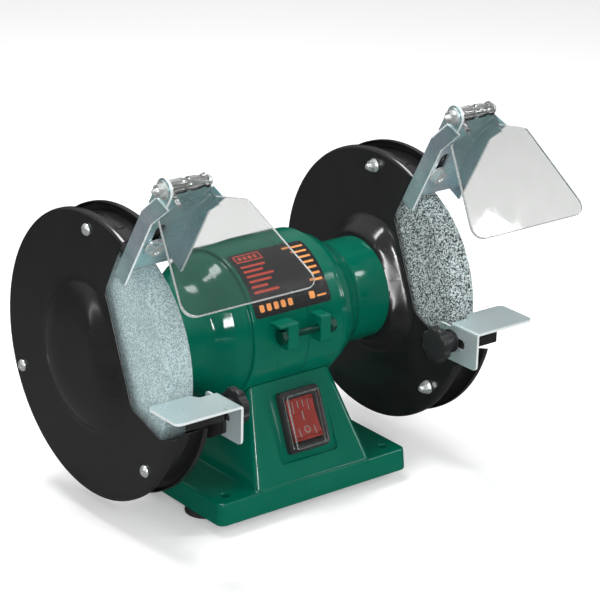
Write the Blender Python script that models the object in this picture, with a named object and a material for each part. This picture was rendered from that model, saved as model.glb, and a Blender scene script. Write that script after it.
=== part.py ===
"""Bench grinder with two 200 mm wheels, rocker switch, clear eye shields and tool rests.

Frame, in metres: +X along the shaft to the right wheel, -Y towards the user, +Z up. The origin
lies under the middle of the shaft, on the plane of the base's lower rim. Side -1 is the left
wheel and side +1 the right one.
"""
import bpy
import bmesh
from math import asin, atan2, cos, pi, radians, sin, tan
from mathutils import Matrix, Vector

# ---- Driving dimensions -------------------------------------------------------------------
GAP = 0.0003                    # clearance between pieces that touch
AXIS_Z = 0.134                  # shaft axis above the base's lower rim

BASE_HALF_X = 0.0985
BASE_HALF_Y = 0.0916
SKIRT_TOP = 0.019
FOOT_HEIGHT = 0.008
FOOT_RADIUS = 0.017
FOOT_PLACE = (0.080, 0.045)
MOUNT_HOLE_PLACE = (0.0827, 0.0758)

HOUSING_RADIUS = 0.0645
HOUSING_WALL = 0.0035
HOUSING_SHOULDER = 0.0459       # where the housing steps down to its cone
NECK_RADIUS = 0.0444
NECK_START = 0.079
NECK_END = 0.1111
SEAM_X = 0.0096                 # joint between the two housing halves

SHAFT_RADIUS = 0.010
JOURNAL_RADIUS = 0.0085
SPINDLE_RADIUS = 0.0079
SHAFT_END = 0.1735
BEARING_RADIUS = 0.020
BEARING_SPAN = (0.0945, 0.1067)

WHEEL_RADIUS = 0.100
WHEEL_SPAN = (0.1325, 0.1575)
WHEEL_MIDDLE = 0.1457           # middle of a guard, where its bracket sits
WHEEL_FLANGE_RADIUS = 0.035

GUARD_RADIUS = 0.1204
GUARD_SHEET = 0.0014
GUARD_INNER_X = 0.1274          # motor-side face of the inner guard disc
GUARD_COVER_X = 0.1641          # outer face of the guard cover
GUARD_LIP = 0.0065              # depth of each disc's turned rim
DOME_RADIUS = 0.063
COVER_DOME = 0.0125
INNER_DOME = 0.0160
INNER_DOME_FLAT = 0.046
BAND_RADIUS = 0.112
OPENING_TILT = radians(22.9)    # middle of the guard opening above the horizontal
GUARD_BOLT_RADIUS = 0.1065
GUARD_BOLT_ANGLES = (90.0, 203.0, -41.0)    # from the front horizontal, rising

PLATE = 0.0022                  # zinc-plated steel of rests and brackets
BRACKET_LEAN = {-1: radians(30.6), 1: radians(27.8)}
BRACKET_HALF_WIDTH = 0.027
BRACKET_FOOT = 0.1025           # distance of the bracket's lower end from the shaft
BRACKET_FOLD = 0.1715
BRACKET_DEPTH = 0.0135
BRACKET_BOLT_AT = 0.126
PIVOT_FORWARD = 0.010
PIVOT_AT = 0.2055
SHIELD_LEAN = {-1: radians(50.1), 1: radians(42.6)}
SHIELD_MIDDLE = -0.0038         # shield's middle beside the bracket's middle

REST_LIFT = {-1: -0.0015, 1: 0.0020}        # each rest is set at its own height
REST_BOLT = (-0.1155, -0.0155)  # rest clamp bolt: y, and height beside the shaft
REST_INNER_X = 0.1194
REST_OUTER_X = 0.1815

SWITCH_PLACE = (-0.0747, 0.0648)            # middle of the switch: y and z
SWITCH_TILT = radians(-21.9)
SWITCH_FLOOR = 0.008            # pocket floor behind the switch's reference plane


# ---- Mesh helpers -------------------------------------------------------------------------
def finish(name, bm, material):
    """Turn a bmesh into a named object with a material and smooth round faces."""
    bmesh.ops.recalc_face_normals(bm, faces=bm.faces)
    mesh = bpy.data.meshes.new(name)
    bm.to_mesh(mesh)
    bm.free()
    obj = bpy.data.objects.new(name, mesh)
    bpy.context.collection.objects.link(obj)
    if material:
        mesh.materials.append(material)
    shade(obj)
    return obj


def shade(obj):
    obj.data.shade_smooth()
    obj.data.set_sharp_from_angle(angle=radians(32))


def triangulate(obj):
    """Split bent faces the same way on both sides of a thin sheet."""
    bm = bmesh.new()
    bm.from_mesh(obj.data)
    bmesh.ops.triangulate(bm, faces=bm.faces, quad_method="SHORT_EDGE")
    bm.to_mesh(obj.data)
    bm.free()


def combine(obj, tool, operation="DIFFERENCE"):
    """Cut or join obj with tool, keep the result in obj and remove tool."""
    modifier = obj.modifiers.new(operation.title(), "BOOLEAN")
    modifier.operation = operation
    modifier.solver = "EXACT"
    modifier.object = tool
    graph = bpy.context.evaluated_depsgraph_get()
    mesh = bpy.data.meshes.new_from_object(obj.evaluated_get(graph))
    obj.modifiers.clear()
    mesh.materials.clear()
    for material in obj.data.materials:
        mesh.materials.append(material)
    obj.data = mesh
    bpy.data.objects.remove(tool)
    shade(obj)
    return obj


def axis_matrix(axis):
    """Rotation that takes the X axis to the named axis."""
    if axis == "X":
        return Matrix.Identity(3)
    if axis == "Y":
        return Matrix.Rotation(pi / 2, 3, "Z")
    return Matrix.Rotation(-pi / 2, 3, "Y")


def turned(name, profile, material=None, axis="X", centre=(0, 0, 0), segments=40):
    """Solid of revolution. The profile holds (distance along the axis, radius) points.

    A profile that starts and ends on the axis stays open there, and any other one is closed.
    """
    bm = bmesh.new()
    verts = [bm.verts.new((along, 0, radius)) for along, radius in profile]
    edges = [bm.edges.new(pair) for pair in zip(verts, verts[1:])]
    if profile[0][1] > 0 or profile[-1][1] > 0:
        edges.append(bm.edges.new((verts[-1], verts[0])))
    bmesh.ops.spin(bm, geom=verts + edges, cent=(0, 0, 0), axis=(1, 0, 0), angle=2 * pi,
                   steps=segments, use_merge=True)
    bmesh.ops.remove_doubles(bm, verts=bm.verts, dist=1e-6)
    bmesh.ops.transform(bm, verts=bm.verts, matrix=axis_matrix(axis).to_4x4())
    bmesh.ops.translate(bm, verts=bm.verts, vec=centre)
    return finish(name, bm, material)


def prism(name, outline, low, high, axis, material=None):
    """Solid of a closed 2-D outline between two planes square to the named axis.

    The outline holds (y, z) points for X, (x, z) for Y and (x, y) for Z.
    """
    def point(u, v, level):
        if axis == "X":
            return (level, u, v)
        if axis == "Y":
            return (u, level, v)
        return (u, v, level)

    rings = [[point(u, v, level) for u, v in outline] for level in (low, high)]
    return loft(name, rings, material)


def loft(name, rings, material=None):
    """Closed solid through rings that hold the same number of points."""
    bm = bmesh.new()
    loops = [[bm.verts.new(point) for point in ring] for ring in rings]
    for lower, upper in zip(loops, loops[1:]):
        for i in range(len(lower)):
            j = (i + 1) % len(lower)
            bm.faces.new((lower[i], lower[j], upper[j], upper[i]))
    bm.faces.new(list(reversed(loops[0])))
    bm.faces.new(loops[-1])
    return finish(name, bm, material)


def fillet(points, radius, steps=4):
    """The closed outline with its corners rounded. One radius, or one for each corner."""
    radii = radius if isinstance(radius, (list, tuple)) else [radius] * len(points)
    rounded = []
    for i, corner_radius in enumerate(radii):
        corner = Vector(points[i])
        if corner_radius == 0:
            rounded.append(tuple(corner))
            continue
        before = (Vector(points[i - 1]) - corner).normalized()
        after = (Vector(points[(i + 1) % len(points)]) - corner).normalized()
        half = before.angle(after) / 2
        centre = corner + (before + after).normalized() * corner_radius / sin(half)
        reach = corner_radius / tan(half)
        first = corner + before * reach - centre
        last = corner + after * reach - centre
        start = atan2(first.y, first.x)
        turn = (atan2(last.y, last.x) - start + pi) % (2 * pi) - pi
        for step in range(steps + 1):
            angle = start + turn * step / steps
            rounded.append((centre.x + corner_radius * cos(angle),
                            centre.y + corner_radius * sin(angle)))
    return rounded


def circle(u, v, radius, steps=24):
    return [(u + radius * cos(2 * pi * i / steps), v + radius * sin(2 * pi * i / steps))
            for i in range(steps)]


def arc(radius, start, end, steps):
    """Points (y, z) on a circle about the shaft; angles rise from the front horizontal."""
    angles = [start + (end - start) * i / steps for i in range(steps + 1)]
    return [(-radius * cos(a), AXIS_Z + radius * sin(a)) for a in angles]


def rectangle(u0, v0, u1, v1):
    return [(u0, v0), (u1, v0), (u1, v1), (u0, v1)]


def slot(u0, u1, v, half, steps=6):
    """Outline of a slot with round ends, from u0 to u1 along u."""
    ends = []
    for centre, turn in ((u1, -pi / 2), (u0, pi / 2)):
        for i in range(steps + 1):
            angle = turn + pi * i / steps
            ends.append((centre + half * cos(angle), v + half * sin(angle)))
    return ends


def rounded_ring(half_x, half_y, radius, z):
    outline = fillet(rectangle(-half_x, -half_y, half_x, half_y), radius)
    return [(x, y, z) for x, y in outline]


def set_origin(obj, point):
    """Move an object's origin to a world point and keep its shape where it is."""
    obj.data.transform(Matrix.Translation(-Vector(point)))
    obj.location = point


def seat(objects, name, location, lean=0.0):
    """Parent objects made about the world origin to an empty that places and leans them."""
    empty = bpy.data.objects.new(name, None)
    bpy.context.collection.objects.link(empty)
    empty.location = location
    empty.rotation_euler = (lean, 0, 0)
    for obj in objects:
        obj.parent = empty
    return empty


def paint(name, colour, roughness, metallic=0.0, transmission=0.0):
    material = bpy.data.materials.new(name)
    material.use_nodes = True
    shader = material.node_tree.nodes["Principled BSDF"]
    shader.inputs["Base Color"].default_value = (*colour, 1.0)
    shader.inputs["Roughness"].default_value = roughness
    shader.inputs["Metallic"].default_value = metallic
    shader.inputs["Transmission Weight"].default_value = transmission
    return material


def side_name(side):
    return "left" if side < 0 else "right"


def mirrored(profile, side):
    """Profile points with their distance along the shaft on the given side."""
    return [(side * along, radius) for along, radius in profile]


# ---- Base ---------------------------------------------------------------------------------
def pedestal_ring(z, inset=0.0, inset_y=0.0, radius=0.005):
    """Section of the pedestal, which narrows upwards from the skirt to the motor."""
    rise = max(z - SKIRT_TOP, 0)
    return rounded_ring(0.0595 - 0.234 * rise - inset, 0.0886 - 0.486 * rise - inset_y, radius, z)


def switch_space(name, outline, back, front):
    """Cutter in the switch's own tilted frame, from back to front along its outward normal."""
    cutter = prism(name, outline, -front, -back, "Y")
    cutter.location = (0, *SWITCH_PLACE)
    cutter.rotation_euler = (SWITCH_TILT, 0, 0)
    return cutter


def make_base(paint_green, steel, rubber):
    skirt = [rounded_ring(BASE_HALF_X, BASE_HALF_Y, 0.010, 0.0),
             rounded_ring(BASE_HALF_X - 0.0011, BASE_HALF_Y - 0.0011, 0.010, 0.0165),
             rounded_ring(BASE_HALF_X - 0.0020, BASE_HALF_Y - 0.0020, 0.009, 0.0183),
             rounded_ring(BASE_HALF_X - 0.0040, BASE_HALF_Y - 0.0040, 0.008, SKIRT_TOP)]
    base = loft("base_pedestal", skirt, paint_green)
    column = loft("column", [pedestal_ring(z) for z in (0.012, SKIRT_TOP, 0.106)])
    combine(base, column, "UNION")

    tray = loft("tray", [rounded_ring(BASE_HALF_X - 0.0045, BASE_HALF_Y - 0.0045, 0.006, z)
                         for z in (-0.001, 0.0152)])
    combine(base, tray)
    hollow = loft("hollow", [pedestal_ring(z, 0.0045, 0.0116, 0.003)
                             for z in (0.010, SKIRT_TOP, 0.106)])
    tunnel = turned("tunnel", [(-0.1, 0), (-0.1, 0.0688), (0.1, 0.0688), (0.1, 0)],
                    centre=(0, 0, AXIS_Z))
    combine(hollow, tunnel)
    combine(base, hollow)
    saddle = HOUSING_RADIUS + GAP
    cradle = turned("cradle", [(-0.12, 0), (-0.12, saddle), (0.12, saddle), (0.12, 0)],
                    centre=(0, 0, AXIS_Z), segments=64)
    combine(base, cradle)

    for x in (-1, 1):
        for y in (-1, 1):
            boss = prism("boss", circle(x * FOOT_PLACE[0], y * FOOT_PLACE[1], 0.008, 16),
                         0.0018, 0.017, "Z")
            combine(base, boss, "UNION")
            hole = prism("hole", circle(x * MOUNT_HOLE_PLACE[0], y * MOUNT_HOLE_PLACE[1],
                                        0.0036, 16), 0.010, 0.03, "Z")
            combine(base, hole)
    combine(base, prism("wire_way", circle(0, 0, 0.007, 16), 0.055, 0.080, "Z"))
    combine(base, prism("gland_hole", circle(0, 0.0095, 0.0063, 16), 0.08, 0.10, "Y"))
    pocket = fillet(rectangle(-0.0295, -0.0318, 0.0295, 0.0282), 0.003, 2)
    combine(base, switch_space("pocket", pocket, -SWITCH_FLOOR, 0.020))
    opening = rectangle(-0.0157, -0.0211, 0.0157, 0.0211)
    combine(base, switch_space("switch_hole", opening, -0.045, 0.0))

    plate = fillet(rectangle(-BASE_HALF_X + 0.0049, -BASE_HALF_Y + 0.0049,
                             BASE_HALF_X - 0.0049, BASE_HALF_Y - 0.0049), 0.006)
    prism("bottom_plate", plate, 0.0, 0.0015, "Z", steel)

    foot = [(-GAP, 0), (-GAP, 0.0150), (-0.0015, FOOT_RADIUS - 0.0008),
            (-FOOT_HEIGHT + 0.0015, FOOT_RADIUS), (-FOOT_HEIGHT, FOOT_RADIUS - 0.0010),
            (-FOOT_HEIGHT, 0.006), (-0.004, 0.0055), (-0.004, 0)]
    for x, x_name in ((-1, "left"), (1, "right")):
        for y, y_name in ((-1, "front"), (1, "rear")):
            turned(f"foot_{y_name}_{x_name}", foot, rubber, axis="Z", segments=20,
                   centre=(x * FOOT_PLACE[0], y * FOOT_PLACE[1], 0))


# ---- Motor --------------------------------------------------------------------------------
LUG_SPAN = {-1: (-0.0215, -0.0105), 1: (0.0120, 0.0225)}
LUG_BOLT = (-0.0712, 0.0075)    # y, and height beside the shaft


def make_housing(side, paint_green):
    """Half of the motor casing: barrel, cone, neck and bearing seat in one casting."""
    seam = -(SEAM_X - GAP) if side < 0 else SEAM_X + GAP
    inner = HOUSING_RADIUS - HOUSING_WALL
    seat_start = BEARING_SPAN[0] - 0.0005
    seat_end = BEARING_SPAN[1] + 0.0004
    cone = [(0.0600, 0.0575), (0.0690, 0.0510), (0.0750, 0.0462)]
    profile = [(seam, inner), (seam, HOUSING_RADIUS), (HOUSING_SHOULDER - 0.0008, HOUSING_RADIUS),
               (HOUSING_SHOULDER, HOUSING_RADIUS - 0.0008), (HOUSING_SHOULDER + 0.0004, 0.0618),
               (0.0520, 0.0608), *cone, (NECK_START, NECK_RADIUS), (NECK_END, NECK_RADIUS),
               (NECK_END, 0.0095), (seat_end, 0.0095), (seat_end, BEARING_RADIUS + GAP),
               (seat_start, BEARING_RADIUS + GAP), (seat_start, 0.0405), (0.0770, 0.0410),
               *[(x - 0.001, r - HOUSING_WALL) for x, r in reversed(cone)], (0.0500, inner)]
    name = f"motor_housing_{side_name(side)}"
    housing = turned(name, mirrored(profile, side), paint_green, segments=40)
    housing.location.z = AXIS_Z

    low, high = LUG_SPAN[side]
    y, z = LUG_BOLT
    face = fillet(rectangle(y - 0.0050, z - 0.0115, -HOUSING_RADIUS + 0.0018, z + 0.0115),
                  [0.002, 0, 0, 0.002], 2)
    lug = prism("lug", [(u, AXIS_Z + v) for u, v in face], low, high, "X")
    combine(housing, lug, "UNION")
    bolt_hole = prism("bolt_hole", circle(y, AXIS_Z + z, 0.0033, 16), low - 0.001, high + 0.001, "X")
    combine(housing, bolt_hole)


def make_motor(paint_green, label, steel, iron, copper):
    for side in (-1, 1):
        make_housing(side, paint_green)

    top, bottom = radians(75), radians(21)
    label_low = HOUSING_RADIUS + GAP
    outline = arc(label_low + 0.0004, bottom, top, 14) + arc(label_low, top, bottom, 14)
    prism("nameplate", outline, -0.0425, 0.0350, "X", label)

    y, z = LUG_BOLT
    centre = (0, y, AXIS_Z + z)
    head = LUG_SPAN[-1][0] - GAP
    tip = LUG_SPAN[1][1] + 0.0085
    bolt = turned("housing_bolt", [(head - 0.0055, 0), (head - 0.0055, 0.0058), (head, 0.0058),
                                   (head, 0.0030), (tip, 0.0030), (tip, 0)],
                  steel, centre=centre, segments=18)
    combine(bolt, prism("head", circle(y, AXIS_Z + z, 0.0066, 6), head - 0.0050, head - 0.0002, "X"),
            "UNION")
    start = LUG_SPAN[1][1] + GAP
    nut = prism("housing_nut", circle(y, AXIS_Z + z, 0.0064, 6), start, start + 0.0055, "X", steel)
    combine(nut, prism("thread", circle(y, AXIS_Z + z, 0.0033, 16), start - 0.001,
                       start + 0.007, "X"))

    stack = 0.024
    core = HOUSING_RADIUS - HOUSING_WALL - GAP
    turned("stator_core", [(-stack, 0.0350), (-stack, core), (stack, core), (stack, 0.0350)],
           iron, centre=(0, 0, AXIS_Z), segments=48)
    for side in (-1, 1):
        ring = [(side * (0.0335 + 0.0090 * cos(a)), 0.0465 + 0.0085 * sin(a))
                for a in [2 * pi * i / 8 for i in range(8)]]
        turned(f"stator_winding_{side_name(side)}", ring, copper, centre=(0, 0, AXIS_Z),
               segments=28)
        low, high = BEARING_SPAN
        race = [(low, 0.0092), (low, 0.0190), (low + 0.001, BEARING_RADIUS),
                (high - 0.001, BEARING_RADIUS), (high, 0.0190), (high, 0.0092),
                (high - 0.0004, 0.0088), (low + 0.0004, 0.0088)]
        turned(f"bearing_{side_name(side)}", mirrored(race, side), steel,
               centre=(0, 0, AXIS_Z), segments=24)


# ---- Rotor: everything that spins with the shaft --------------------------------------------
def make_rotor(steel, iron, wheel_left, wheel_right):
    half = [(0.0935, SHAFT_RADIUS), (0.0935, JOURNAL_RADIUS), (0.1262, JOURNAL_RADIUS),
            (0.1262, SPINDLE_RADIUS), (SHAFT_END - 0.001, SPINDLE_RADIUS),
            (SHAFT_END, SPINDLE_RADIUS - 0.001), (SHAFT_END, 0)]
    shaft = turned("shaft", mirrored(reversed(half), -1) + half, steel, segments=24)
    rotor = turned("rotor_core", [(-0.024, SHAFT_RADIUS + GAP), (-0.024, 0.0345),
                                  (0.024, 0.0345), (0.024, SHAFT_RADIUS + GAP)],
                   iron, segments=40)
    pieces = [shaft, rotor]
    bore = SPINDLE_RADIUS + GAP
    start, end = WHEEL_SPAN
    rim = WHEEL_FLANGE_RADIUS
    for side in (-1, 1):
        suffix = side_name(side)
        wheel = [(start, 0.0083), (start, WHEEL_RADIUS - 0.0008),
                 (start + 0.0008, WHEEL_RADIUS), (end - 0.0008, WHEEL_RADIUS),
                 (end, WHEEL_RADIUS - 0.0008), (end, 0.0083)]
        pieces.append(turned(f"grinding_wheel_{suffix}", mirrored(wheel, side),
                             wheel_left if side < 0 else wheel_right, segments=56))
        inner = [(0.1265, bore), (0.1265, 0.018), (0.1290, rim), (start - GAP, rim),
                 (start - GAP, rim - 0.006), (start - 0.0013, rim - 0.007), (start - 0.0013, bore)]
        pieces.append(turned(f"inner_flange_{suffix}", mirrored(inner, side), steel, segments=28))
        face = end + GAP
        outer = [(face, rim), (face + 0.0035, rim), (face + 0.0048, 0.018), (face + 0.0048, bore),
                 (face + 0.0010, bore), (face + 0.0010, rim - 0.007), (face, rim - 0.006)]
        pieces.append(turned(f"outer_flange_{suffix}", mirrored(outer, side), steel, segments=28))
        low = face + 0.0051
        span = sorted((side * low, side * (low + 0.0080)))
        nut = prism(f"shaft_nut_{suffix}", circle(0, 0, 0.0138, 6), *span, "X", steel)
        combine(nut, prism("bore", circle(0, 0, bore, 20), span[0] - 0.001, span[1] + 0.001, "X"))
        pieces.append(nut)
    seat(pieces, "rotor_axis", (0, 0, AXIS_Z))


# ---- Wheel guards -------------------------------------------------------------------------
def cover_lift(radius):
    return COVER_DOME * (1 - min(radius / DOME_RADIUS, 1) ** 4.5)


def inner_lift(radius):
    share = (radius - INNER_DOME_FLAT) / (DOME_RADIUS - INNER_DOME_FLAT)
    share = min(max(share, 0), 1)
    return INNER_DOME * (1 - share * share * (3 - 2 * share))


def opening_outline(inner_edge, top, corner, knee):
    """Guard opening as (y, z): a flat inner edge that flares out to the rim.

    Distances are taken along the middle of the opening and square to it.
    """
    points = [(inner_edge, top), (inner_edge, corner), knee, (0.150, -0.080), (0.150, 0.135)]
    rounded = fillet(points, [0.006, 0.006, 0.004, 0, 0], 3)
    along = Vector((-cos(OPENING_TILT), sin(OPENING_TILT)))
    across = Vector((sin(OPENING_TILT), cos(OPENING_TILT)))
    return [tuple(along * a + across * b) for a, b in rounded]


def guard_disc(name, side, face_x, out, lift, radii, fade, outline, material):
    """Pressed disc with a turned rim, a dome that fades out beside the opening, and holes.

    out is +1 where the dome and the face look away from the wheel's middle, -1 where they
    look towards the motor. fade holds where the dome starts to sink and where it is gone.
    """
    back = -out
    corner = [(0.0008, 0.0014), (0.0030, 0.0001), (GUARD_LIP, 0.0)]
    face = [(face_x + out * lift(r), r) for r in radii]
    face += [(face_x + back * depth, GUARD_RADIUS - inset)
             for depth, inset in [(0.0, 0.0045), *corner]]
    under_x = face_x + back * GUARD_SHEET
    under = [(under_x + out * lift(r), r) for r in radii]
    under += [(under_x, GUARD_RADIUS - 0.0050), (under_x + back * 0.0008, GUARD_RADIUS - 0.0024),
              (face_x + back * GUARD_LIP, GUARD_RADIUS - GUARD_SHEET)]
    disc = turned(name, mirrored(face + list(reversed(under)), side), material, segments=34)

    along = Vector((0, -cos(OPENING_TILT), sin(OPENING_TILT)))
    for vertex in disc.data.vertices:
        radius = (vertex.co.yz).length
        share = (vertex.co.dot(along) - fade[0]) / (fade[1] - fade[0])
        share = min(max(share, 0), 1)
        sink = share * share * (3 - 2 * share)
        vertex.co.x -= side * out * lift(radius) * sink
    triangulate(disc)
    low, high = sorted((side * (face_x - 0.03), side * (face_x + 0.03)))
    combine(disc, prism("opening", outline, low, high, "X"))
    for angle in GUARD_BOLT_ANGLES:
        y = -GUARD_BOLT_RADIUS * cos(radians(angle))
        z = GUARD_BOLT_RADIUS * sin(radians(angle))
        combine(disc, prism("bolt_hole", circle(y, z, 0.0029, 14), low, high, "X"))
    disc.location.z = AXIS_Z
    return disc


def guard_band(side, material):
    """Band between the two discs, with a radial tab at its upper end for the bracket."""
    lean = BRACKET_LEAN[side]
    tab_front, tab_back = -0.0026, -0.0046
    inner = BAND_RADIUS - GUARD_SHEET
    upright = pi / 2 - lean
    start_outer = upright + asin(-tab_back / BAND_RADIUS)
    start_inner = upright + asin(-tab_front / inner)
    end = radians(342)

    def tab_point(forward, radius):
        return (-forward * cos(lean) - radius * sin(lean),
                AXIS_Z - forward * sin(lean) + radius * cos(lean))

    outline = arc(BAND_RADIUS, end, start_outer, 34)
    outline += [tab_point(tab_back, 0.156), tab_point(tab_front, 0.156)]
    outline += arc(inner, start_inner, end, 34)
    low, high = GUARD_INNER_X + GUARD_SHEET + GAP, GUARD_COVER_X - GUARD_SHEET - GAP
    low, high = sorted((side * low, side * high))
    band = prism(f"guard_band_{side_name(side)}", outline, low, high, "X", material)
    hole = prism("hole", circle(0, BRACKET_BOLT_AT, 0.0033, 16), 0.0, 0.010, "Y")
    hole.location = (side * WHEEL_MIDDLE, 0, AXIS_Z)
    hole.rotation_euler = (lean, 0, 0)
    combine(band, hole)


def make_guards(black, steel):
    knee_cover, knee_inner = (0.0785, -0.0719), (0.0880, -0.0700)
    cover_opening = opening_outline(0.0468, 0.0493, -0.0458, knee_cover)
    inner_opening = opening_outline(0.0515, 0.0525, -0.0310, knee_inner)
    for side in (-1, 1):
        suffix = side_name(side)
        guard_disc(f"guard_cover_{suffix}", side, GUARD_COVER_X, 1, cover_lift,
                   [0, 0.029, 0.040, 0.0500, 0.057, DOME_RADIUS], (0.026, 0.046),
                   cover_opening, black)
        guard_disc(f"guard_inner_{suffix}", side, GUARD_INNER_X, -1, inner_lift,
                   [0.022, 0.037, INNER_DOME_FLAT, 0.050, 0.0545, 0.059, DOME_RADIUS],
                   (0.036, 0.050), inner_opening, black)
        guard_band(side, black)
        for index, angle in enumerate(GUARD_BOLT_ANGLES, 1):
            nut = GUARD_INNER_X - GAP
            head = GUARD_COVER_X + GAP
            bolt = [(nut - 0.0090, 0), (nut - 0.0090, 0.0021), (nut - 0.0084, 0.0025),
                    (nut - 0.0054, 0.0025), (nut - 0.0054, 0.0046), (nut - 0.0012, 0.0046),
                    (nut - 0.0012, 0.0060), (nut, 0.0060), (nut, 0.0025), (head, 0.0025),
                    (head, 0.0050), (head + 0.0014, 0.0049), (head + 0.0028, 0.0036),
                    (head + 0.0034, 0.0016), (head + 0.0034, 0)]
            y = -GUARD_BOLT_RADIUS * cos(radians(angle))
            z = AXIS_Z + GUARD_BOLT_RADIUS * sin(radians(angle))
            turned(f"guard_bolt_{suffix}_{index}", mirrored(bolt, side), steel,
                   centre=(0, y, z), segments=10)


# ---- Tool rests ---------------------------------------------------------------------------
def make_rest(side, zinc, black, plastic):
    suffix = side_name(side)
    bolt_y, bolt_height = REST_BOLT
    bolt_z = AXIS_Z + bolt_height + REST_LIFT[side]
    top = AXIS_Z + REST_LIFT[side]
    bolt_point = (side * REST_INNER_X, bolt_y, bolt_z)

    def span(low, high):
        return sorted((side * low, side * high))

    # The rest: a slotted upright flange and the table that it carries.
    outline = [(REST_INNER_X, -0.147), (REST_OUTER_X, -0.147), (REST_OUTER_X, -0.1075),
               (0.1425, -0.1075), (0.1375, -0.1150), (REST_INNER_X, -0.1150)]
    table = [(side * x, y) for x, y in fillet(outline, [0, 0.005, 0.004, 0.002, 0.002, 0], 3)]
    rest = prism(f"tool_rest_{suffix}", table, top - PLATE, top, "Z", zinc)
    shape = [(-0.1470, -0.0010), (-0.1470, -0.0330), (-0.1115, -0.0330), (-0.1015, -0.0200),
             (-0.1000, -0.0035), (-0.1140, -0.0035), (-0.1150, -0.0010)]
    flange = [(y, top + z) for y, z in fillet(shape, [0, 0.004, 0.003, 0.003, 0.002, 0, 0], 3)]
    combine(rest, prism("flange", flange, *span(REST_INNER_X, REST_INNER_X + PLATE), "X"), "UNION")
    slot_outline = slot(-0.1320, -0.1065, bolt_z, 0.0044)
    combine(rest, prism("slot", slot_outline, *span(0.118, 0.125), "X"))
    set_origin(rest, bolt_point)

    # The arm that the rest clamps to: it stands off the inner disc and folds across the front.
    arm_in = REST_INNER_X + PLATE + GAP
    arm_out = arm_in + 0.0025
    cheek = [(-0.1285, -0.0080), (-0.1285, -0.0300), (-0.1120, -0.0400), (-0.0860, -0.0500),
             (-0.0780, -0.0440), (-0.0860, -0.0290), (-0.1040, -0.0080)]
    cheek = [(y, AXIS_Z + z) for y, z in fillet(cheek, [0, 0.002, 0.003, 0.003, 0.003, 0.004,
                                                        0.003], 2)]
    arm = prism(f"rest_arm_{suffix}", cheek, *span(arm_in, arm_out), "X", black)
    front = rectangle(side * (arm_in + 0.0002), AXIS_Z - 0.0195, side * 0.159, AXIS_Z - 0.0080)
    combine(arm, prism("fold", front, -0.1285, -0.1260, "Y"), "UNION")
    pad = circle(-0.0880, AXIS_Z - 0.0395, 0.0060, 16)
    combine(arm, prism("pad", pad, *span(arm_out - 0.001, GUARD_INNER_X - GAP), "X"), "UNION")
    combine(arm, prism("hole", circle(bolt_y, bolt_z, 0.0043, 16), *span(0.12, 0.127), "X"))

    # Clamp bolt with its hexagon head on the wheel's side, and the knob on the motor's side.
    head = arm_out + GAP
    end = 0.1052
    bolt = prism(f"rest_bolt_{suffix}", circle(bolt_y, bolt_z, 0.0068, 6),
                 *span(head, head + 0.005), "X", zinc)
    shank = circle(bolt_y, bolt_z, 0.0039, 20)
    combine(bolt, prism("shank", shank, *span(end, head + 0.002), "X"), "UNION")
    set_origin(bolt, bolt_point)

    face = REST_INNER_X - GAP
    knob = [(0.0985, 0), (0.0985, 0.0110), (0.0995, 0.0145), (0.1005, 0.0155), (0.1060, 0.0155),
            (0.1070, 0.0145), (0.1072, 0.0078), (face - 0.0016, 0.0078), (face - 0.0016, 0.0098),
            (face, 0.0098), (face, 0.0042), (end - 0.0007, 0.0042), (end - 0.0007, 0)]
    turned(f"rest_knob_{suffix}", mirrored(knob, side), plastic,
           centre=(0, bolt_y, bolt_z), segments=24)
    set_origin(bpy.data.objects[f"rest_knob_{suffix}"], bolt_point)


# ---- Eye shields --------------------------------------------------------------------------
def bracket_outline(points):
    """(forward, distance from the shaft) pairs as the (y, z) of the bracket's own frame."""
    return [(-forward, distance) for forward, distance in points]


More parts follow.
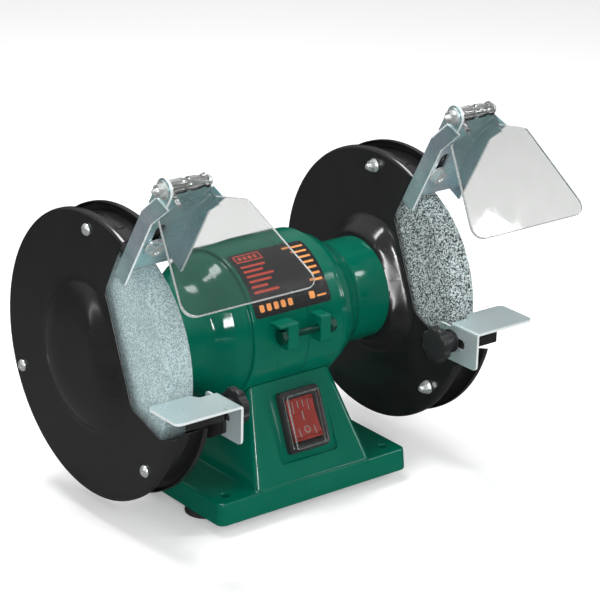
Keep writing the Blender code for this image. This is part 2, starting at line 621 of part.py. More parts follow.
def make_bracket(side, zinc, steel, clear):
    suffix = side_name(side)
    lean = BRACKET_LEAN[side]
    half = BRACKET_HALF_WIDTH
    sheet = 0.0020
    cheek = bracket_outline([(-sheet, BRACKET_FOOT), (BRACKET_DEPTH, BRACKET_FOOT),
                             (BRACKET_DEPTH, BRACKET_FOLD), (0.0235, 0.1975), (0.0065, 0.1952),
                             (-sheet, 0.1722)])
    web = bracket_outline([(-sheet, BRACKET_FOOT), (0, BRACKET_FOOT), (0, 0.1716),
                           (0.0084, 0.1945), (0.0065, 0.1952), (-sheet, 0.1722)])
    bracket = prism(f"shield_bracket_{suffix}", web, -half + 0.001, half - 0.001, "X", zinc)
    for low in (-half, half - sheet):
        combine(bracket, prism("cheek", cheek, low, low + sheet, "X"), "UNION")
    ear = bracket_outline([(0.0010, 0.1830), (0.0190, 0.1860), (0.0190, 0.2145), (0.0010, 0.2145)])
    ear = fillet(ear, [0, 0, 0.0088, 0.0088], 5)
    ear_low = -half + sheet - 0.0002
    ear_high = ear_low + 0.0024
    combine(bracket, prism("ear", ear, ear_low, ear_high, "X"), "UNION")
    combine(bracket, prism("pivot_hole", circle(-PIVOT_FORWARD, PIVOT_AT, 0.0028, 16),
                           -half, half, "X"))
    track = [(x, z) for z, x in slot(0.1180, 0.1490, 0, 0.0044)]
    combine(bracket, prism("track", track, -0.005, 0.006, "Y"))

    # Bolt through the track and the guard's tab, its nut behind the tab.
    bolt = turned(f"bracket_bolt_{suffix}",
                  [(-0.0062, 0), (-0.0062, 0.0045), (-0.0048, 0.0066), (-0.0016, 0.0068),
                   (-0.0016, 0.0080), (-GAP, 0.0080), (-GAP, 0.0030), (0.0049, 0.0030),
                   (0.0049, 0.0062), (0.0098, 0.0062), (0.0098, 0.0030), (0.0130, 0.0028),
                   (0.0130, 0)],
                  steel, axis="Y", centre=(0, 0, BRACKET_BOLT_AT), segments=14)

    # Pivot bolt: nut and washers about the ear, head beyond the shield's barrel.
    nut = ear_low - GAP
    washer = ear_high + GAP
    pivot = turned(f"pivot_bolt_{suffix}",
                   [(nut - 0.0100, 0), (nut - 0.0100, 0.0022), (nut - 0.0060, 0.0025),
                    (nut - 0.0060, 0.0056), (nut - 0.0012, 0.0056), (nut - 0.0012, 0.0075),
                    (nut, 0.0075), (nut, 0.0025), (washer, 0.0025), (washer, 0.0072),
                    (washer + 0.0010, 0.0072), (washer + 0.0010, 0.0025), (0.0130, 0.0025),
                    (0.0130, 0.0050), (0.0165, 0.0045), (0.0175, 0.0030), (0.0175, 0)],
                   steel, centre=(0, -PIVOT_FORWARD, PIVOT_AT), segments=14)
    seat([bracket, bolt, pivot], f"bracket_frame_{suffix}", (side * WHEEL_MIDDLE, 0, AXIS_Z), lean)

    # Shield: a clear sheet hung from a clear barrel that turns on the pivot bolt.
    barrel_span = (washer + 0.0014, 0.0125)
    sheet_outline = [(-0.0120, -0.0150), (0.0120, -0.0150), (0.0405, -0.0245), (0.0620, -0.1065),
                     (-0.0620, -0.1065), (-0.0405, -0.0245)]
    pane = [(x + SHIELD_MIDDLE, z)
            for x, z in fillet(sheet_outline, [0.003, 0.003, 0.004, 0.009, 0.009, 0.004], 5)]
    shield = prism(f"eye_shield_{suffix}", pane, -0.0045, -0.0015, "Y", clear)
    bridge = rectangle(barrel_span[0], -0.0300, barrel_span[1], 0.0)
    combine(shield, prism("bridge", bridge, -0.0018, 0.0015, "Y"), "UNION")
    combine(shield, prism("barrel", circle(0, 0, 0.0065, 24), *barrel_span, "X"), "UNION")
    combine(shield, prism("bore", circle(0, 0, 0.0029, 16), -0.03, 0.03, "X"))
    seat([shield], f"shield_pivot_{suffix}", pivot_point(side), -SHIELD_LEAN[side])


def pivot_point(side):
    lean = BRACKET_LEAN[side]
    return (side * WHEEL_MIDDLE, -PIVOT_FORWARD * cos(lean) - PIVOT_AT * sin(lean),
            AXIS_Z - PIVOT_FORWARD * sin(lean) + PIVOT_AT * cos(lean))


# ---- Electrical pieces --------------------------------------------------------------------
ROCKER_PIVOT = 0.009            # rocker axis behind the switch's reference plane
ROCKER_REST = radians(8)


def make_switch(black, red, clear):
    frame = fillet(rectangle(-0.0200, -0.0256, 0.0200, 0.0256), 0.002, 3)
    back = SWITCH_FLOOR - GAP
    body = prism("switch_body", frame, 0.0025, back, "Y", black)
    tub = rectangle(-0.0154, -0.0208, 0.0154, 0.0208)
    combine(body, prism("tub", tub, back - 0.001, 0.0340, "Y"), "UNION")
    opening = rectangle(-0.0138, -0.0192, 0.0138, 0.0192)
    combine(body, prism("opening", opening, 0.0, 0.0280, "Y"))

    cover = prism("switch_cover", fillet(rectangle(-0.0170, -0.0225, 0.0170, 0.0225), 0.002, 3),
                  -0.0042, 0.0022, "Y", clear)
    inside = fillet(rectangle(-0.0158, -0.0213, 0.0158, 0.0213), 0.001, 2)
    combine(cover, prism("inside", inside, -0.0030, 0.003, "Y"))
    seat([body, cover], "switch_frame", (0, *SWITCH_PLACE), SWITCH_TILT)

    shape = [(-0.0078, 0.0176), (-0.0056, 0.0), (-0.0078, -0.0176), (-0.0020, -0.0176),
             (0.0060, -0.0070), (0.0060, 0.0070), (-0.0020, 0.0176)]
    rocker = prism("switch_rocker", shape, -0.0134, 0.0134, "X", red)
    depth = Vector((0, ROCKER_PIVOT, 0))
    depth.rotate(Matrix.Rotation(SWITCH_TILT, 3, "X"))
    place = Vector((0, *SWITCH_PLACE)) + depth
    seat([rocker], "rocker_pivot", place, SWITCH_TILT - ROCKER_REST)


def make_wiring(grey, plastic):
    radius = 0.016
    can = [(-0.030, 0), (-0.030, radius - 0.001), (-0.029, radius), (0.029, radius),
           (0.030, radius - 0.001), (0.030, 0)]
    turned("capacitor", can, grey, centre=(0, 0.035, 0.0015 + GAP + radius), segments=28)
    wall = BASE_HALF_Y
    gland = [(wall - 0.0080, 0.0032), (wall - 0.0080, 0.0055), (wall - 0.0060, 0.0060),
             (wall + GAP, 0.0060), (wall + GAP, 0.0085), (wall + 0.0024, 0.0082),
             (wall + 0.0050, 0.0062), (wall + 0.0110, 0.0050), (wall + 0.0110, 0.0032)]
    turned("cable_gland", gland, plastic, axis="Y", centre=(0, 0, 0.0095), segments=18)


# ---- Build --------------------------------------------------------------------------------
def build():
    for obj in list(bpy.data.objects):
        bpy.data.objects.remove(obj)
    green = paint("green_enamel", (0.003, 0.142, 0.085), 0.22)
    black = paint("black_enamel", (0.012, 0.012, 0.013), 0.25)
    zinc = paint("zinc_plate", (0.56, 0.62, 0.63), 0.32, metallic=1.0)
    steel = paint("bright_steel", (0.60, 0.62, 0.62), 0.28, metallic=1.0)
    iron = paint("laminated_iron", (0.10, 0.10, 0.11), 0.55, metallic=0.8)
    copper = paint("copper_winding", (0.45, 0.16, 0.07), 0.40, metallic=0.8)
    rubber = paint("black_rubber", (0.020, 0.020, 0.020), 0.80)
    plastic = paint("black_plastic", (0.018, 0.018, 0.020), 0.50)
    label = paint("label_film", (0.015, 0.015, 0.016), 0.35)
    fine_grit = paint("fine_abrasive", (0.46, 0.54, 0.56), 0.85)
    coarse_grit = paint("coarse_abrasive", (0.30, 0.33, 0.33), 0.90)
    clear = paint("clear_acrylic", (0.95, 0.97, 0.97), 0.05, transmission=1.0)
    red = paint("red_switch", (0.62, 0.03, 0.02), 0.25)
    grey = paint("capacitor_can", (0.35, 0.36, 0.37), 0.40)

    make_base(green, steel, rubber)
    make_motor(green, label, steel, iron, copper)
    make_rotor(steel, iron, fine_grit, coarse_grit)
    make_guards(black, steel)
    for side in (-1, 1):
        make_rest(side, zinc, black, plastic)
        make_bracket(side, zinc, steel, clear)
    make_switch(plastic, red, clear)
    make_wiring(grey, plastic)


build()
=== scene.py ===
from math import asin, atan2, cos, pi, radians, sin, tan

import bmesh
import bpy
from mathutils import Matrix, Vector


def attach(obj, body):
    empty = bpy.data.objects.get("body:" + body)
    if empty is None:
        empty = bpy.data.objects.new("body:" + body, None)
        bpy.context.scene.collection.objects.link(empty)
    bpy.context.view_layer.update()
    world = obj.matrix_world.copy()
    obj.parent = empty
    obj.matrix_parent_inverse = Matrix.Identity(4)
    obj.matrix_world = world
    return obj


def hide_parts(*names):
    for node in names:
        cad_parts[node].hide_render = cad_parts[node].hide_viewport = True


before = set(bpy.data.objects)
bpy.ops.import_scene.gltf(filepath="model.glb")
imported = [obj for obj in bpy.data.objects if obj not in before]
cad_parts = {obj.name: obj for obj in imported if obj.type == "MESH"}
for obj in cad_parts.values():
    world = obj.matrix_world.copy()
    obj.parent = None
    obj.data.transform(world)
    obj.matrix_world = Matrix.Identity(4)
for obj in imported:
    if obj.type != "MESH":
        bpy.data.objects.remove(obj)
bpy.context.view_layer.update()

# ---- Camera -------------------------------------------------------------------------------------
# A long lens stands front left of the grinder, a little above it and rolled by a degree or so.
# Distances in this file are millimetres in the part's own frame, unless a line says metres.
AXIS = 134                      # shaft axis above the base's lower rim
FLOOR = -8                      # underside of the rubber feet
azimuth, elevation, roll = radians(-38.59), radians(21.16), radians(1.5)
back = Vector((sin(azimuth) * cos(elevation), -cos(azimuth) * cos(elevation), sin(elevation)))
level_right = Vector((cos(azimuth), sin(azimuth), 0))
level_up = back.cross(level_right)
right = level_right * cos(roll) + level_up * sin(roll)
up = level_up * cos(roll) - level_right * sin(roll)
camera = bpy.data.objects.new("camera", bpy.data.cameras.new("camera"))
camera.data.sensor_width = 36
camera.data.lens = 143.92
camera.data.clip_start, camera.data.clip_end = 0.05, 30
camera.matrix_world = Matrix((right, up, back)).transposed().to_4x4()
camera.location = (-1.13053, -1.47929, 0.73322 + 0.134)
bpy.context.scene.collection.objects.link(camera)
bpy.context.scene.camera = camera


# ---- Studio -------------------------------------------------------------------------------------
# A pale table top runs out of view on every side under a white sky. Four soft boxes give the
# enamel its highlights: one overhead, one from the left, one from the right and one in front.
def soft_box(name, place, target, width, height, power):
    """Area light in metres that looks at the target."""
    data = bpy.data.lights.new(name, "AREA")
    data.shape, data.size, data.size_y = "RECTANGLE", width, height
    data.energy = power
    lamp = bpy.data.objects.new(name, data)
    lamp.location = place
    lamp.rotation_mode = "QUATERNION"
    lamp.rotation_quaternion = (Vector(target) - Vector(place)).to_track_quat("-Z", "Y")
    bpy.context.scene.collection.objects.link(lamp)


soft_box("box_overhead", (-0.1, 0.35, 1.5), (0, 0, 0.1), 1.0, 0.35, 20)
soft_box("box_left", (-1.7, -0.1, 1.0), (-0.1, 0, 0.12), 0.18, 1.1, 3.5)
soft_box("box_right", (1.3, -1.0, 0.9), (0, 0, 0.12), 0.18, 1.0, 8)
soft_box("box_front", (-1.22, -1.78, 0.96), (0, 0, 0.12), 0.22, 0.75, 22)


def add_node(tree, kind, feeds=None, **settings):
    """Node with its settings and its inputs, each fed by a socket or holding a value."""
    node = tree.nodes.new(kind)
    for setting, value in settings.items():
        setattr(node, setting, value)
    for label, value in (feeds or {}).items():
        if isinstance(value, bpy.types.NodeSocket):
            tree.links.new(value, node.inputs[label])
        else:
            node.inputs[label].default_value = value
    return node


def add_mix(tree, share, first, second):
    """Colour between first and second, each a colour or a socket."""
    node = add_node(tree, "ShaderNodeMix", data_type="RGBA")
    for socket, value in zip([s for s in node.inputs if s.type == "RGBA"], (first, second)):
        if isinstance(value, bpy.types.NodeSocket):
            tree.links.new(value, socket)
        else:
            socket.default_value = (*value, 1)
    tree.links.new(share, node.inputs["Factor"])
    return [s for s in node.outputs if s.type == "RGBA"][0]


def grey_ramp(tree, value, *stops):
    """Grey that changes between two stops of (position, grey)."""
    node = add_node(tree, "ShaderNodeValToRGB", {"Fac": value})
    for element, (position, grey) in zip(node.color_ramp.elements, stops):
        element.position, element.color = position, (grey, grey, grey, 1)
    return node.outputs["Color"]


def seen_in_gloss(tree, plain, dimmed):
    """Plain for all light, but dimmed where a glossy surface mirrors it, like a dark screen."""
    path = add_node(tree, "ShaderNodeLightPath").outputs
    mirrored = add_node(tree, "ShaderNodeMath",
                        {0: path["Is Glossy Ray"], 1: path["Is Transmission Ray"]},
                        operation="SUBTRACT", use_clamp=True)
    return add_mix(tree, mirrored.outputs[0], plain, dimmed)


world = bpy.data.worlds.new("white_sky")
world.use_nodes = True
sky = world.node_tree
heading = add_node(sky, "ShaderNodeTexCoord").outputs["Generated"]
height = add_node(sky, "ShaderNodeSeparateXYZ", {"Vector": heading}).outputs["Z"]
fade = grey_ramp(sky, height, (0.12, 0.02), (0.48, 1.0))
sky.links.new(seen_in_gloss(sky, (1, 1, 1), fade), sky.nodes["Background"].inputs["Color"])
sky.nodes["Background"].inputs["Strength"].default_value = 0.44
bpy.context.scene.world = world
bpy.context.scene.view_settings.view_transform = "Standard"

table_mesh = bmesh.new()
bmesh.ops.create_grid(table_mesh, x_segments=2, y_segments=2, size=9)
bmesh.ops.translate(table_mesh, verts=table_mesh.verts, vec=(0, 0, FLOOR * 0.001 - 0.0002))
table_data = bpy.data.meshes.new("table_top")
table_mesh.to_mesh(table_data)
table_mesh.free()
table = bpy.data.objects.new("table_top", table_data)
bpy.context.scene.collection.objects.link(table)
table_paint = bpy.data.materials.new("table_white")
table_paint.use_nodes = True
table_shader = table_paint.node_tree.nodes["Principled BSDF"]
table_shader.inputs["Roughness"].default_value = 0.9
table_shader.inputs["Specular IOR Level"].default_value = 0.1
table_tree = table_paint.node_tree
spot = add_node(table_tree, "ShaderNodeTexCoord").outputs["Object"]
reach = add_node(table_tree, "ShaderNodeVectorMath", {0: spot}, operation="LENGTH")
dimming = grey_ramp(table_tree, reach.outputs["Value"], (0.25, 0.10), (0.9, 0.03))
table_tree.links.new(seen_in_gloss(table_tree, (0.93, 0.93, 0.93), dimming),
                     table_shader.inputs["Base Color"])
# A little light of its own keeps the table as white as the sky behind it.
sight = add_node(table_tree, "ShaderNodeLightPath").outputs["Is Camera Ray"]
lift = add_node(table_tree, "ShaderNodeMath", {0: sight, 1: 0.22}, operation="MULTIPLY")
table_shader.inputs["Emission Color"].default_value = (1, 1, 1, 1)
table_tree.links.new(lift.outputs[0], table_shader.inputs["Emission Strength"])
table_data.materials.append(table_paint)


# ---- Pedestal base ------------------------------------------------------------------------------
# One green enamelled casting: a flat skirt with rounded edges and a pedestal that narrows up to a
# saddle under the motor. A sloping pocket in its front face holds the switch.
def shade(obj, angle=32):
    obj.data.shade_smooth()
    obj.data.set_sharp_from_angle(angle=radians(angle))


def new_piece(name, bm, angle=32):
    """Object from a bmesh in millimetres, with its faces turned outwards."""
    bmesh.ops.remove_doubles(bm, verts=bm.verts, dist=0.0005)
    bmesh.ops.recalc_face_normals(bm, faces=bm.faces)
    mesh = bpy.data.meshes.new(name)
    bm.to_mesh(mesh)
    bm.free()
    obj = bpy.data.objects.new(name, mesh)
    bpy.context.scene.collection.objects.link(obj)
    shade(obj, angle)
    return obj


def bake_modifiers(obj):
    """Keep what the object's modifiers make as its plain mesh."""
    graph = bpy.context.evaluated_depsgraph_get()
    mesh = bpy.data.meshes.new_from_object(obj.evaluated_get(graph))
    obj.modifiers.clear()
    obj.data = mesh
    return obj


def combine(obj, tool, operation="DIFFERENCE", angle=32):
    """Cut or join obj with tool and remove tool."""
    modifier = obj.modifiers.new(operation.title(), "BOOLEAN")
    modifier.operation = operation
    modifier.solver = "EXACT"
    modifier.object = tool
    bake_modifiers(obj)
    bpy.data.objects.remove(tool)
    shade(obj, angle)
    return obj


def settle(obj, body, slot, material, *nodes):
    """Bring a finished piece from millimetres to metres, give it its finish and let it ride."""
    obj.data.transform(Matrix.Scale(0.001, 4))
    flatten = obj.modifiers.new("Flat faces", "WEIGHTED_NORMAL")
    flatten.keep_sharp = True
    bake_modifiers(obj)
    obj.data.materials.clear()
    obj.data.materials.append(material)
    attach(obj, body)
    if nodes:
        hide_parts(*nodes)
    return obj


def fillet(points, radius, steps=6):
    """The closed outline with its corners rounded. One radius, or one for each corner."""
    radii = radius if isinstance(radius, (list, tuple)) else [radius] * len(points)
    rounded = []
    for i, corner_radius in enumerate(radii):
        corner = Vector(points[i])
        if corner_radius == 0:
            rounded.append(tuple(corner))
            continue
        before = (Vector(points[i - 1]) - corner).normalized()
        after = (Vector(points[(i + 1) % len(points)]) - corner).normalized()
        half = before.angle(after) / 2
        centre = corner + (before + after).normalized() * corner_radius / sin(half)
        reach = corner_radius / tan(half)
        first = corner + before * reach - centre
        last = corner + after * reach - centre
        start = atan2(first.y, first.x)
        turn = (atan2(last.y, last.x) - start + pi) % (2 * pi) - pi
        for step in range(steps + 1):
            angle = start + turn * step / steps
            rounded.append((centre.x + corner_radius * cos(angle),
                            centre.y + corner_radius * sin(angle)))
    return rounded


def rectangle(u0, v0, u1, v1):
    return [(u0, v0), (u1, v0), (u1, v1), (u0, v1)]


def circle(u, v, radius, steps=40):
    return [(u + radius * cos(2 * pi * i / steps), v + radius * sin(2 * pi * i / steps))
            for i in range(steps)]


def loft(rings):
    """Closed skin through rings with the same number of points."""
    bm = bmesh.new()
    loops = [[bm.verts.new(point) for point in ring] for ring in rings]
    for lower, upper in zip(loops, loops[1:]):
        for i in range(len(lower)):
            j = (i + 1) % len(lower)
            bm.faces.new((lower[i], lower[j], upper[j], upper[i]))
    bm.faces.new(list(reversed(loops[0])))
    bm.faces.new(loops[-1])
    return bm


def slab(outline, low, high, axis, edge=0.0, segments=2):
    """Plate of an outline between two levels of the axis, its rims rounded by edge.

    The outline holds (y, z) points for X, (x, z) for Y and (x, y) for Z.
    """
    def point(u, v, level):
        return {"X": (level, u, v), "Y": (u, level, v), "Z": (u, v, level)}[axis]

    bm = loft([[point(u, v, level) for u, v in outline] for level in (low, high)])
    if edge:
        rims = [e for e in bm.edges if len(outline) <= 4
                or any(len(f.verts) == len(outline) for f in e.link_faces)]
        bmesh.ops.bevel(bm, geom=rims, offset=edge, segments=segments, profile=0.5,
                        affect="EDGES", clamp_overlap=True)
    return bm


def lathe(profile, segments=96, axis="X", centre=(0, 0, 0)):
    """Turned shape of (distance along the axis, radius) points, closed if it leaves the axis."""
    bm = bmesh.new()
    verts = [bm.verts.new((along, 0, radius)) for along, radius in profile]
    edges = [bm.edges.new(pair) for pair in zip(verts, verts[1:])]
    if profile[0][1] > 0 or profile[-1][1] > 0:
        edges.append(bm.edges.new((verts[-1], verts[0])))
    bmesh.ops.spin(bm, geom=verts + edges, cent=(0, 0, 0), axis=(1, 0, 0), angle=2 * pi,
                   steps=segments, use_merge=True)
    bmesh.ops.remove_doubles(bm, verts=bm.verts, dist=0.0005)
    turn = {"X": Matrix.Identity(4), "Y": Matrix.Rotation(pi / 2, 4, "Z"),
            "Z": Matrix.Rotation(-pi / 2, 4, "Y")}[axis]
    bmesh.ops.transform(bm, verts=bm.verts, matrix=Matrix.Translation(centre) @ turn)
    return bm


# Materials: each reads Object coordinates through the same small set of node helpers.
def new_material(name, colour, roughness, metallic=0.0):
    """Material with its shader and its Object coordinates, as (material, tree, shader, place)."""
    material = bpy.data.materials.new(name)
    material.use_nodes = True
    tree = material.node_tree
    shader = tree.nodes["Principled BSDF"]
    shader.inputs["Base Color"].default_value = (*colour, 1)
    shader.inputs["Roughness"].default_value = roughness
    shader.inputs["Metallic"].default_value = metallic
    place = tree.nodes.new("ShaderNodeTexCoord").outputs["Object"]
    return material, tree, shader, place


def add_noise(tree, vector, scale, detail=2.0, roughness=0.5):
    return add_node(tree, "ShaderNodeTexNoise", {
        "Vector": vector, "Scale": scale, "Detail": detail, "Roughness": roughness}).outputs["Fac"]


def add_range(tree, value, low, high, to_low, to_high, smooth=False):
    return add_node(tree, "ShaderNodeMapRange", {
        "Value": value, "From Min": low, "From Max": high, "To Min": to_low, "To Max": to_high},
        interpolation_type="SMOOTHSTEP" if smooth else "LINEAR").outputs["Result"]


def add_bump(tree, shader, height, strength, distance):
    bump = add_node(tree, "ShaderNodeBump",
                    {"Strength": strength, "Distance": distance, "Height": height})
    tree.links.new(bump.outputs["Normal"], shader.inputs["Normal"])


def vary(tree, shader, share, dark, pale, roughness=None, spread=0.2):
    """Let share drive the colour and, in the middle of its range, the roughness."""
    tree.links.new(add_mix(tree, share, dark, pale), shader.inputs["Base Color"])
    if roughness:
        tree.links.new(add_range(tree, share, 0.5 - spread, 0.5 + spread, *roughness),
                       shader.inputs["Roughness"])


def new_group(name, takes, gives):
    """Shader node group as (tree, its inputs by name, its outputs by name)."""
    tree = bpy.data.node_groups.new(name, "ShaderNodeTree")
    for label in takes:
        kind = "NodeSocketVector" if label in ("Vector", "Stretch") else "NodeSocketFloat"
        tree.interface.new_socket(label, in_out="INPUT", socket_type=kind)
    for label in gives:
        tree.interface.new_socket(label, in_out="OUTPUT", socket_type="NodeSocketFloat")
    return tree, tree.nodes.new("NodeGroupInput").outputs, tree.nodes.new("NodeGroupOutput").inputs


def use_group(tree, group, **values):
    """Place a group in a material. Underscores in a name stand for spaces."""
    feeds = {label.replace("_", " "): value for label, value in values.items()}
    return add_node(tree, "ShaderNodeGroup", feeds, node_tree=group).outputs


# Sprayed enamel: a slow ripple in the film, fine dust in it and patches a little less glossy.
enamel, given, gives = new_group("sprayed_enamel", ("Vector", "Ripple Scale", "Gloss", "Matt"),
                                 ("Height", "Roughness", "Patch"))
ripple = add_noise(enamel, given["Vector"], given["Ripple Scale"], 1.5)
dust = add_range(enamel, add_noise(enamel, given["Vector"], 2600, 1.0), 0.68, 0.80, 0.0, 0.5)
coating = add_node(enamel, "ShaderNodeMath", {0: ripple, 1: dust}, operation="ADD").outputs[0]
enamel.links.new(coating, gives["Height"])
patch = add_noise(enamel, given["Vector"], 38, 3.0)
enamel.links.new(patch, gives["Patch"])
enamel.links.new(add_range(enamel, patch, 0.35, 0.65, given["Gloss"], given["Matt"], True),
                 gives["Roughness"])


def enamelled(name, plain, dark, pale, ripple_scale, gloss, matt, bump, bump_size):
    """Enamel between two tones of one colour, as (material, shader)."""
    material, tree, shader, place = new_material(name, plain, 0.2)
    coat = use_group(tree, enamel, Vector=place, Ripple_Scale=ripple_scale, Gloss=gloss, Matt=matt)
    tree.links.new(coat["Roughness"], shader.inputs["Roughness"])
    vary(tree, shader, coat["Patch"], dark, pale)
    add_bump(tree, shader, coat["Height"], bump, bump_size)
    return material, shader


green_paint, shader = enamelled("green_enamel", (0.002, 0.150, 0.092), (0.0003, 0.100, 0.062),
                                (0.0006, 0.122, 0.076), 260.0, 0.09, 0.15, 0.10, 0.0003)
shader.inputs["Specular IOR Level"].default_value = 0.4

SKIRT_TOP = 19


def base_ring(half_x, half_y, radius, z, steps=8):
    outline = fillet(rectangle(-half_x, -half_y, half_x, half_y), radius, steps)
    return [(x, y, z) for x, y in outline]


def pedestal_ring(z, grow=0.0, inset_y=0.0, radius=5.5):
    rise = max(z - SKIRT_TOP, 0)
    return base_ring(59.5 - 0.234 * rise + grow, 88.6 - 0.486 * rise + grow - inset_y,
                     radius + max(grow, 0), z)


skirt_rings = [base_ring(98.0, 91.1, 6.6, 0.0), base_ring(98.5, 91.6, 7.0, 0.5)]
for step in range(7):
    turn = pi / 2 * step / 6
    inset = 1.1 + 2.2 * (1 - cos(turn))
    skirt_rings.append(base_ring(98.5 - inset, 91.6 - inset, 7.0 - inset / 2,
                                 16.8 + 2.2 * sin(turn)))
base = new_piece("base_casting", loft(skirt_rings))
column_rings = [pedestal_ring(16, 1.5)]
for step in range(5):
    turn = pi / 2 * step / 4
    column_rings.append(pedestal_ring(SKIRT_TOP + 1.5 * (1 - cos(turn)), 1.5 * (1 - sin(turn))))
column_rings.append(pedestal_ring(106))
combine(base, new_piece("column", loft(column_rings)), "UNION")
combine(base, new_piece("tray", loft([base_ring(94.0, 87.1, 6, z) for z in (-1, 15.2)])))
hollow = new_piece("hollow", loft([pedestal_ring(z, -4.5, 7.1, 3) for z in (10, 19, 106)]))
combine(hollow, new_piece("tunnel", lathe([(-100, 0), (-100, 68.8), (100, 68.8), (100, 0)],
                                          96, centre=(0, 0, AXIS))))
combine(base, hollow)
combine(base, new_piece("saddle", lathe([(-120, 0), (-120, 64.75), (120, 64.75), (120, 0)],
                                        160, centre=(0, 0, AXIS))))
for x in (-82.7, 82.7):
    for y in (-75.8, 75.8):
        mouth = lathe([(10, 0), (10, 3.6), (18.2, 3.6), (19.4, 4.8), (30, 4.8), (30, 0)], 32, "Z",
                      (x, y, 0))
        combine(base, new_piece("bench_hole", mouth))
combine(base, new_piece("gland_hole", slab(circle(0, 9.5, 6.3), 80, 100, "Y")))

SWITCH = (-74.7, 64.8)          # middle of the switch: y and z
SWITCH_TILT = radians(-21.9)
switch_frame = Matrix.Translation((0, *SWITCH)) @ Matrix.Rotation(SWITCH_TILT, 4, "X")


def pocket_ring(grow, depth):
    outline = fillet(rectangle(-29.5 - grow, -31.8 - grow, 29.5 + grow, 28.2 + grow), 3.0 + grow)
    return [switch_frame @ Vector((x, depth, z)) for x, z in outline]


combine(base, new_piece("pocket", loft([pocket_ring(0, 8.0), pocket_ring(0.2, 0.0),
                                        pocket_ring(0.2, -20.0)])))
switch_hole = new_piece("switch_hole", slab(rectangle(-15.7, -21.1, 15.7, 21.1), 0, 45, "Y"))
switch_hole.data.transform(switch_frame)
combine(base, switch_hole)
rounding = base.modifiers.new("Edges", "BEVEL")
rounding.width, rounding.segments = 0.5, 2
rounding.limit_method, rounding.angle_limit = "ANGLE", radians(50)
rounding.use_clamp_overlap = False
rounding.harden_normals = True
bake_modifiers(base)
settle(base, "base", "green_enamel", green_paint, "base_pedestal")


# ---- Rubber feet --------------------------------------------------------------------------------
# Four turned black rubber feet, screwed from below through the bottom plate into bosses. One foot
# is turned once and a node tree sets a copy at each corner.
def new_tree(name, **takes):
    """Geometry node tree with named inputs, as (tree, its inputs, their identifiers)."""
    tree = bpy.data.node_groups.new(name, "GeometryNodeTree")
    keys = {}
    for label, kind in {"Geometry": "Geometry", **takes}.items():
        made = tree.interface.new_socket(label, in_out="INPUT", socket_type=f"NodeSocket{kind}")
        keys[label] = made.identifier
    tree.interface.new_socket("Geometry", in_out="OUTPUT", socket_type="NodeSocketGeometry")
    return tree, add_node(tree, "NodeGroupInput").outputs, keys


def end_tree(tree, shape, finish):
    """Make real meshes of the copies, give them their finish and hand them out."""
    real = add_node(tree, "GeometryNodeRealizeInstances", {"Geometry": shape})
    dressed = add_node(tree, "GeometryNodeSetMaterial",
                       {"Geometry": real.outputs["Geometry"], "Material": finish})
    add_node(tree, "NodeGroupOutput", {"Geometry": dressed.outputs["Geometry"]})


def run_tree(obj, tree, keys, **values):
    """Set the tree's inputs on an object and keep what it makes as the object's mesh."""
    modifier = obj.modifiers.new("Tree", "NODES")
    modifier.node_group = tree
    for label, value in values.items():
        modifier[keys[label]] = value
    return bake_modifiers(obj)


copies, given, copies_keys = new_tree("copies_at_marks", Piece="Object", Size="Float",
                                      Finish="Material")
info = add_node(copies, "GeometryNodeObjectInfo", {"Object": given["Piece"]},
                transform_space="ORIGINAL")
spread = add_node(copies, "GeometryNodeInstanceOnPoints", {
    "Points": given["Geometry"], "Instance": info.outputs["Geometry"], "Scale": given["Size"]})
end_tree(copies, spread.outputs["Instances"], given["Finish"])


def copies_at(name, piece, marks, finish):
    """One object with a copy of piece at each mark. The piece itself is removed."""
    mesh = bpy.data.meshes.new(name)
    mesh.from_pydata(marks, [], [])
    obj = bpy.data.objects.new(name, mesh)
    bpy.context.scene.collection.objects.link(obj)
    run_tree(obj, copies, copies_keys, Piece=piece, Size=1.0, Finish=finish)
    bpy.data.objects.remove(piece)
    return obj


rubber, tree, shader, place = new_material("black_rubber", (0.018, 0.018, 0.019), 0.75)
grain = add_noise(tree, place, 900, 3.0)
vary(tree, shader, grain, (0.012, 0.012, 0.013), (0.028, 0.028, 0.029), (0.62, 0.85))
add_bump(tree, shader, grain, 0.25, 0.0003)

foot_profile = [(-0.3, 0), (-0.3, 14.6), (-0.9, 15.4), (-1.8, 16.2), (-3.0, 16.3), (-3.4, 16.0),
                (-3.8, 16.3), (-6.4, 17.0), (-7.4, 16.8), (-7.9, 16.2), (-8.0, 15.4), (-8.0, 6.4),
                (-7.6, 6.0), (-4.0, 5.6), (-4.0, 0)]
foot = new_piece("foot", lathe(foot_profile, 48, "Z"))
corners = [(x, y, 0) for x in (-80, 80) for y in (-45, 45)]
settle(copies_at("rubber_feet", foot, corners, rubber), "base", "black_rubber", rubber,
       "foot_front_left", "foot_front_right", "foot_rear_left", "foot_rear_right")


# ---- Motor housing ------------------------------------------------------------------------------
# Two green enamelled halves meet in a fine seam right of the middle. Each half is a turned barrel
# that steps down through a cone to the neck that carries its guard. Cast lugs take a clamp bolt.
SEAM, SEAM_GAP = 9.6, 0.3       # place along the shaft and width
BARREL = 64.5                   # outer radius
CONE = [(45.9, BARREL), (46.3, 61.4), (52.0, 60.6), (59.0, 57.6), (66.5, 52.6), (73.0, 47.4),
        (79.0, 44.4), (111.1, 44.4)]


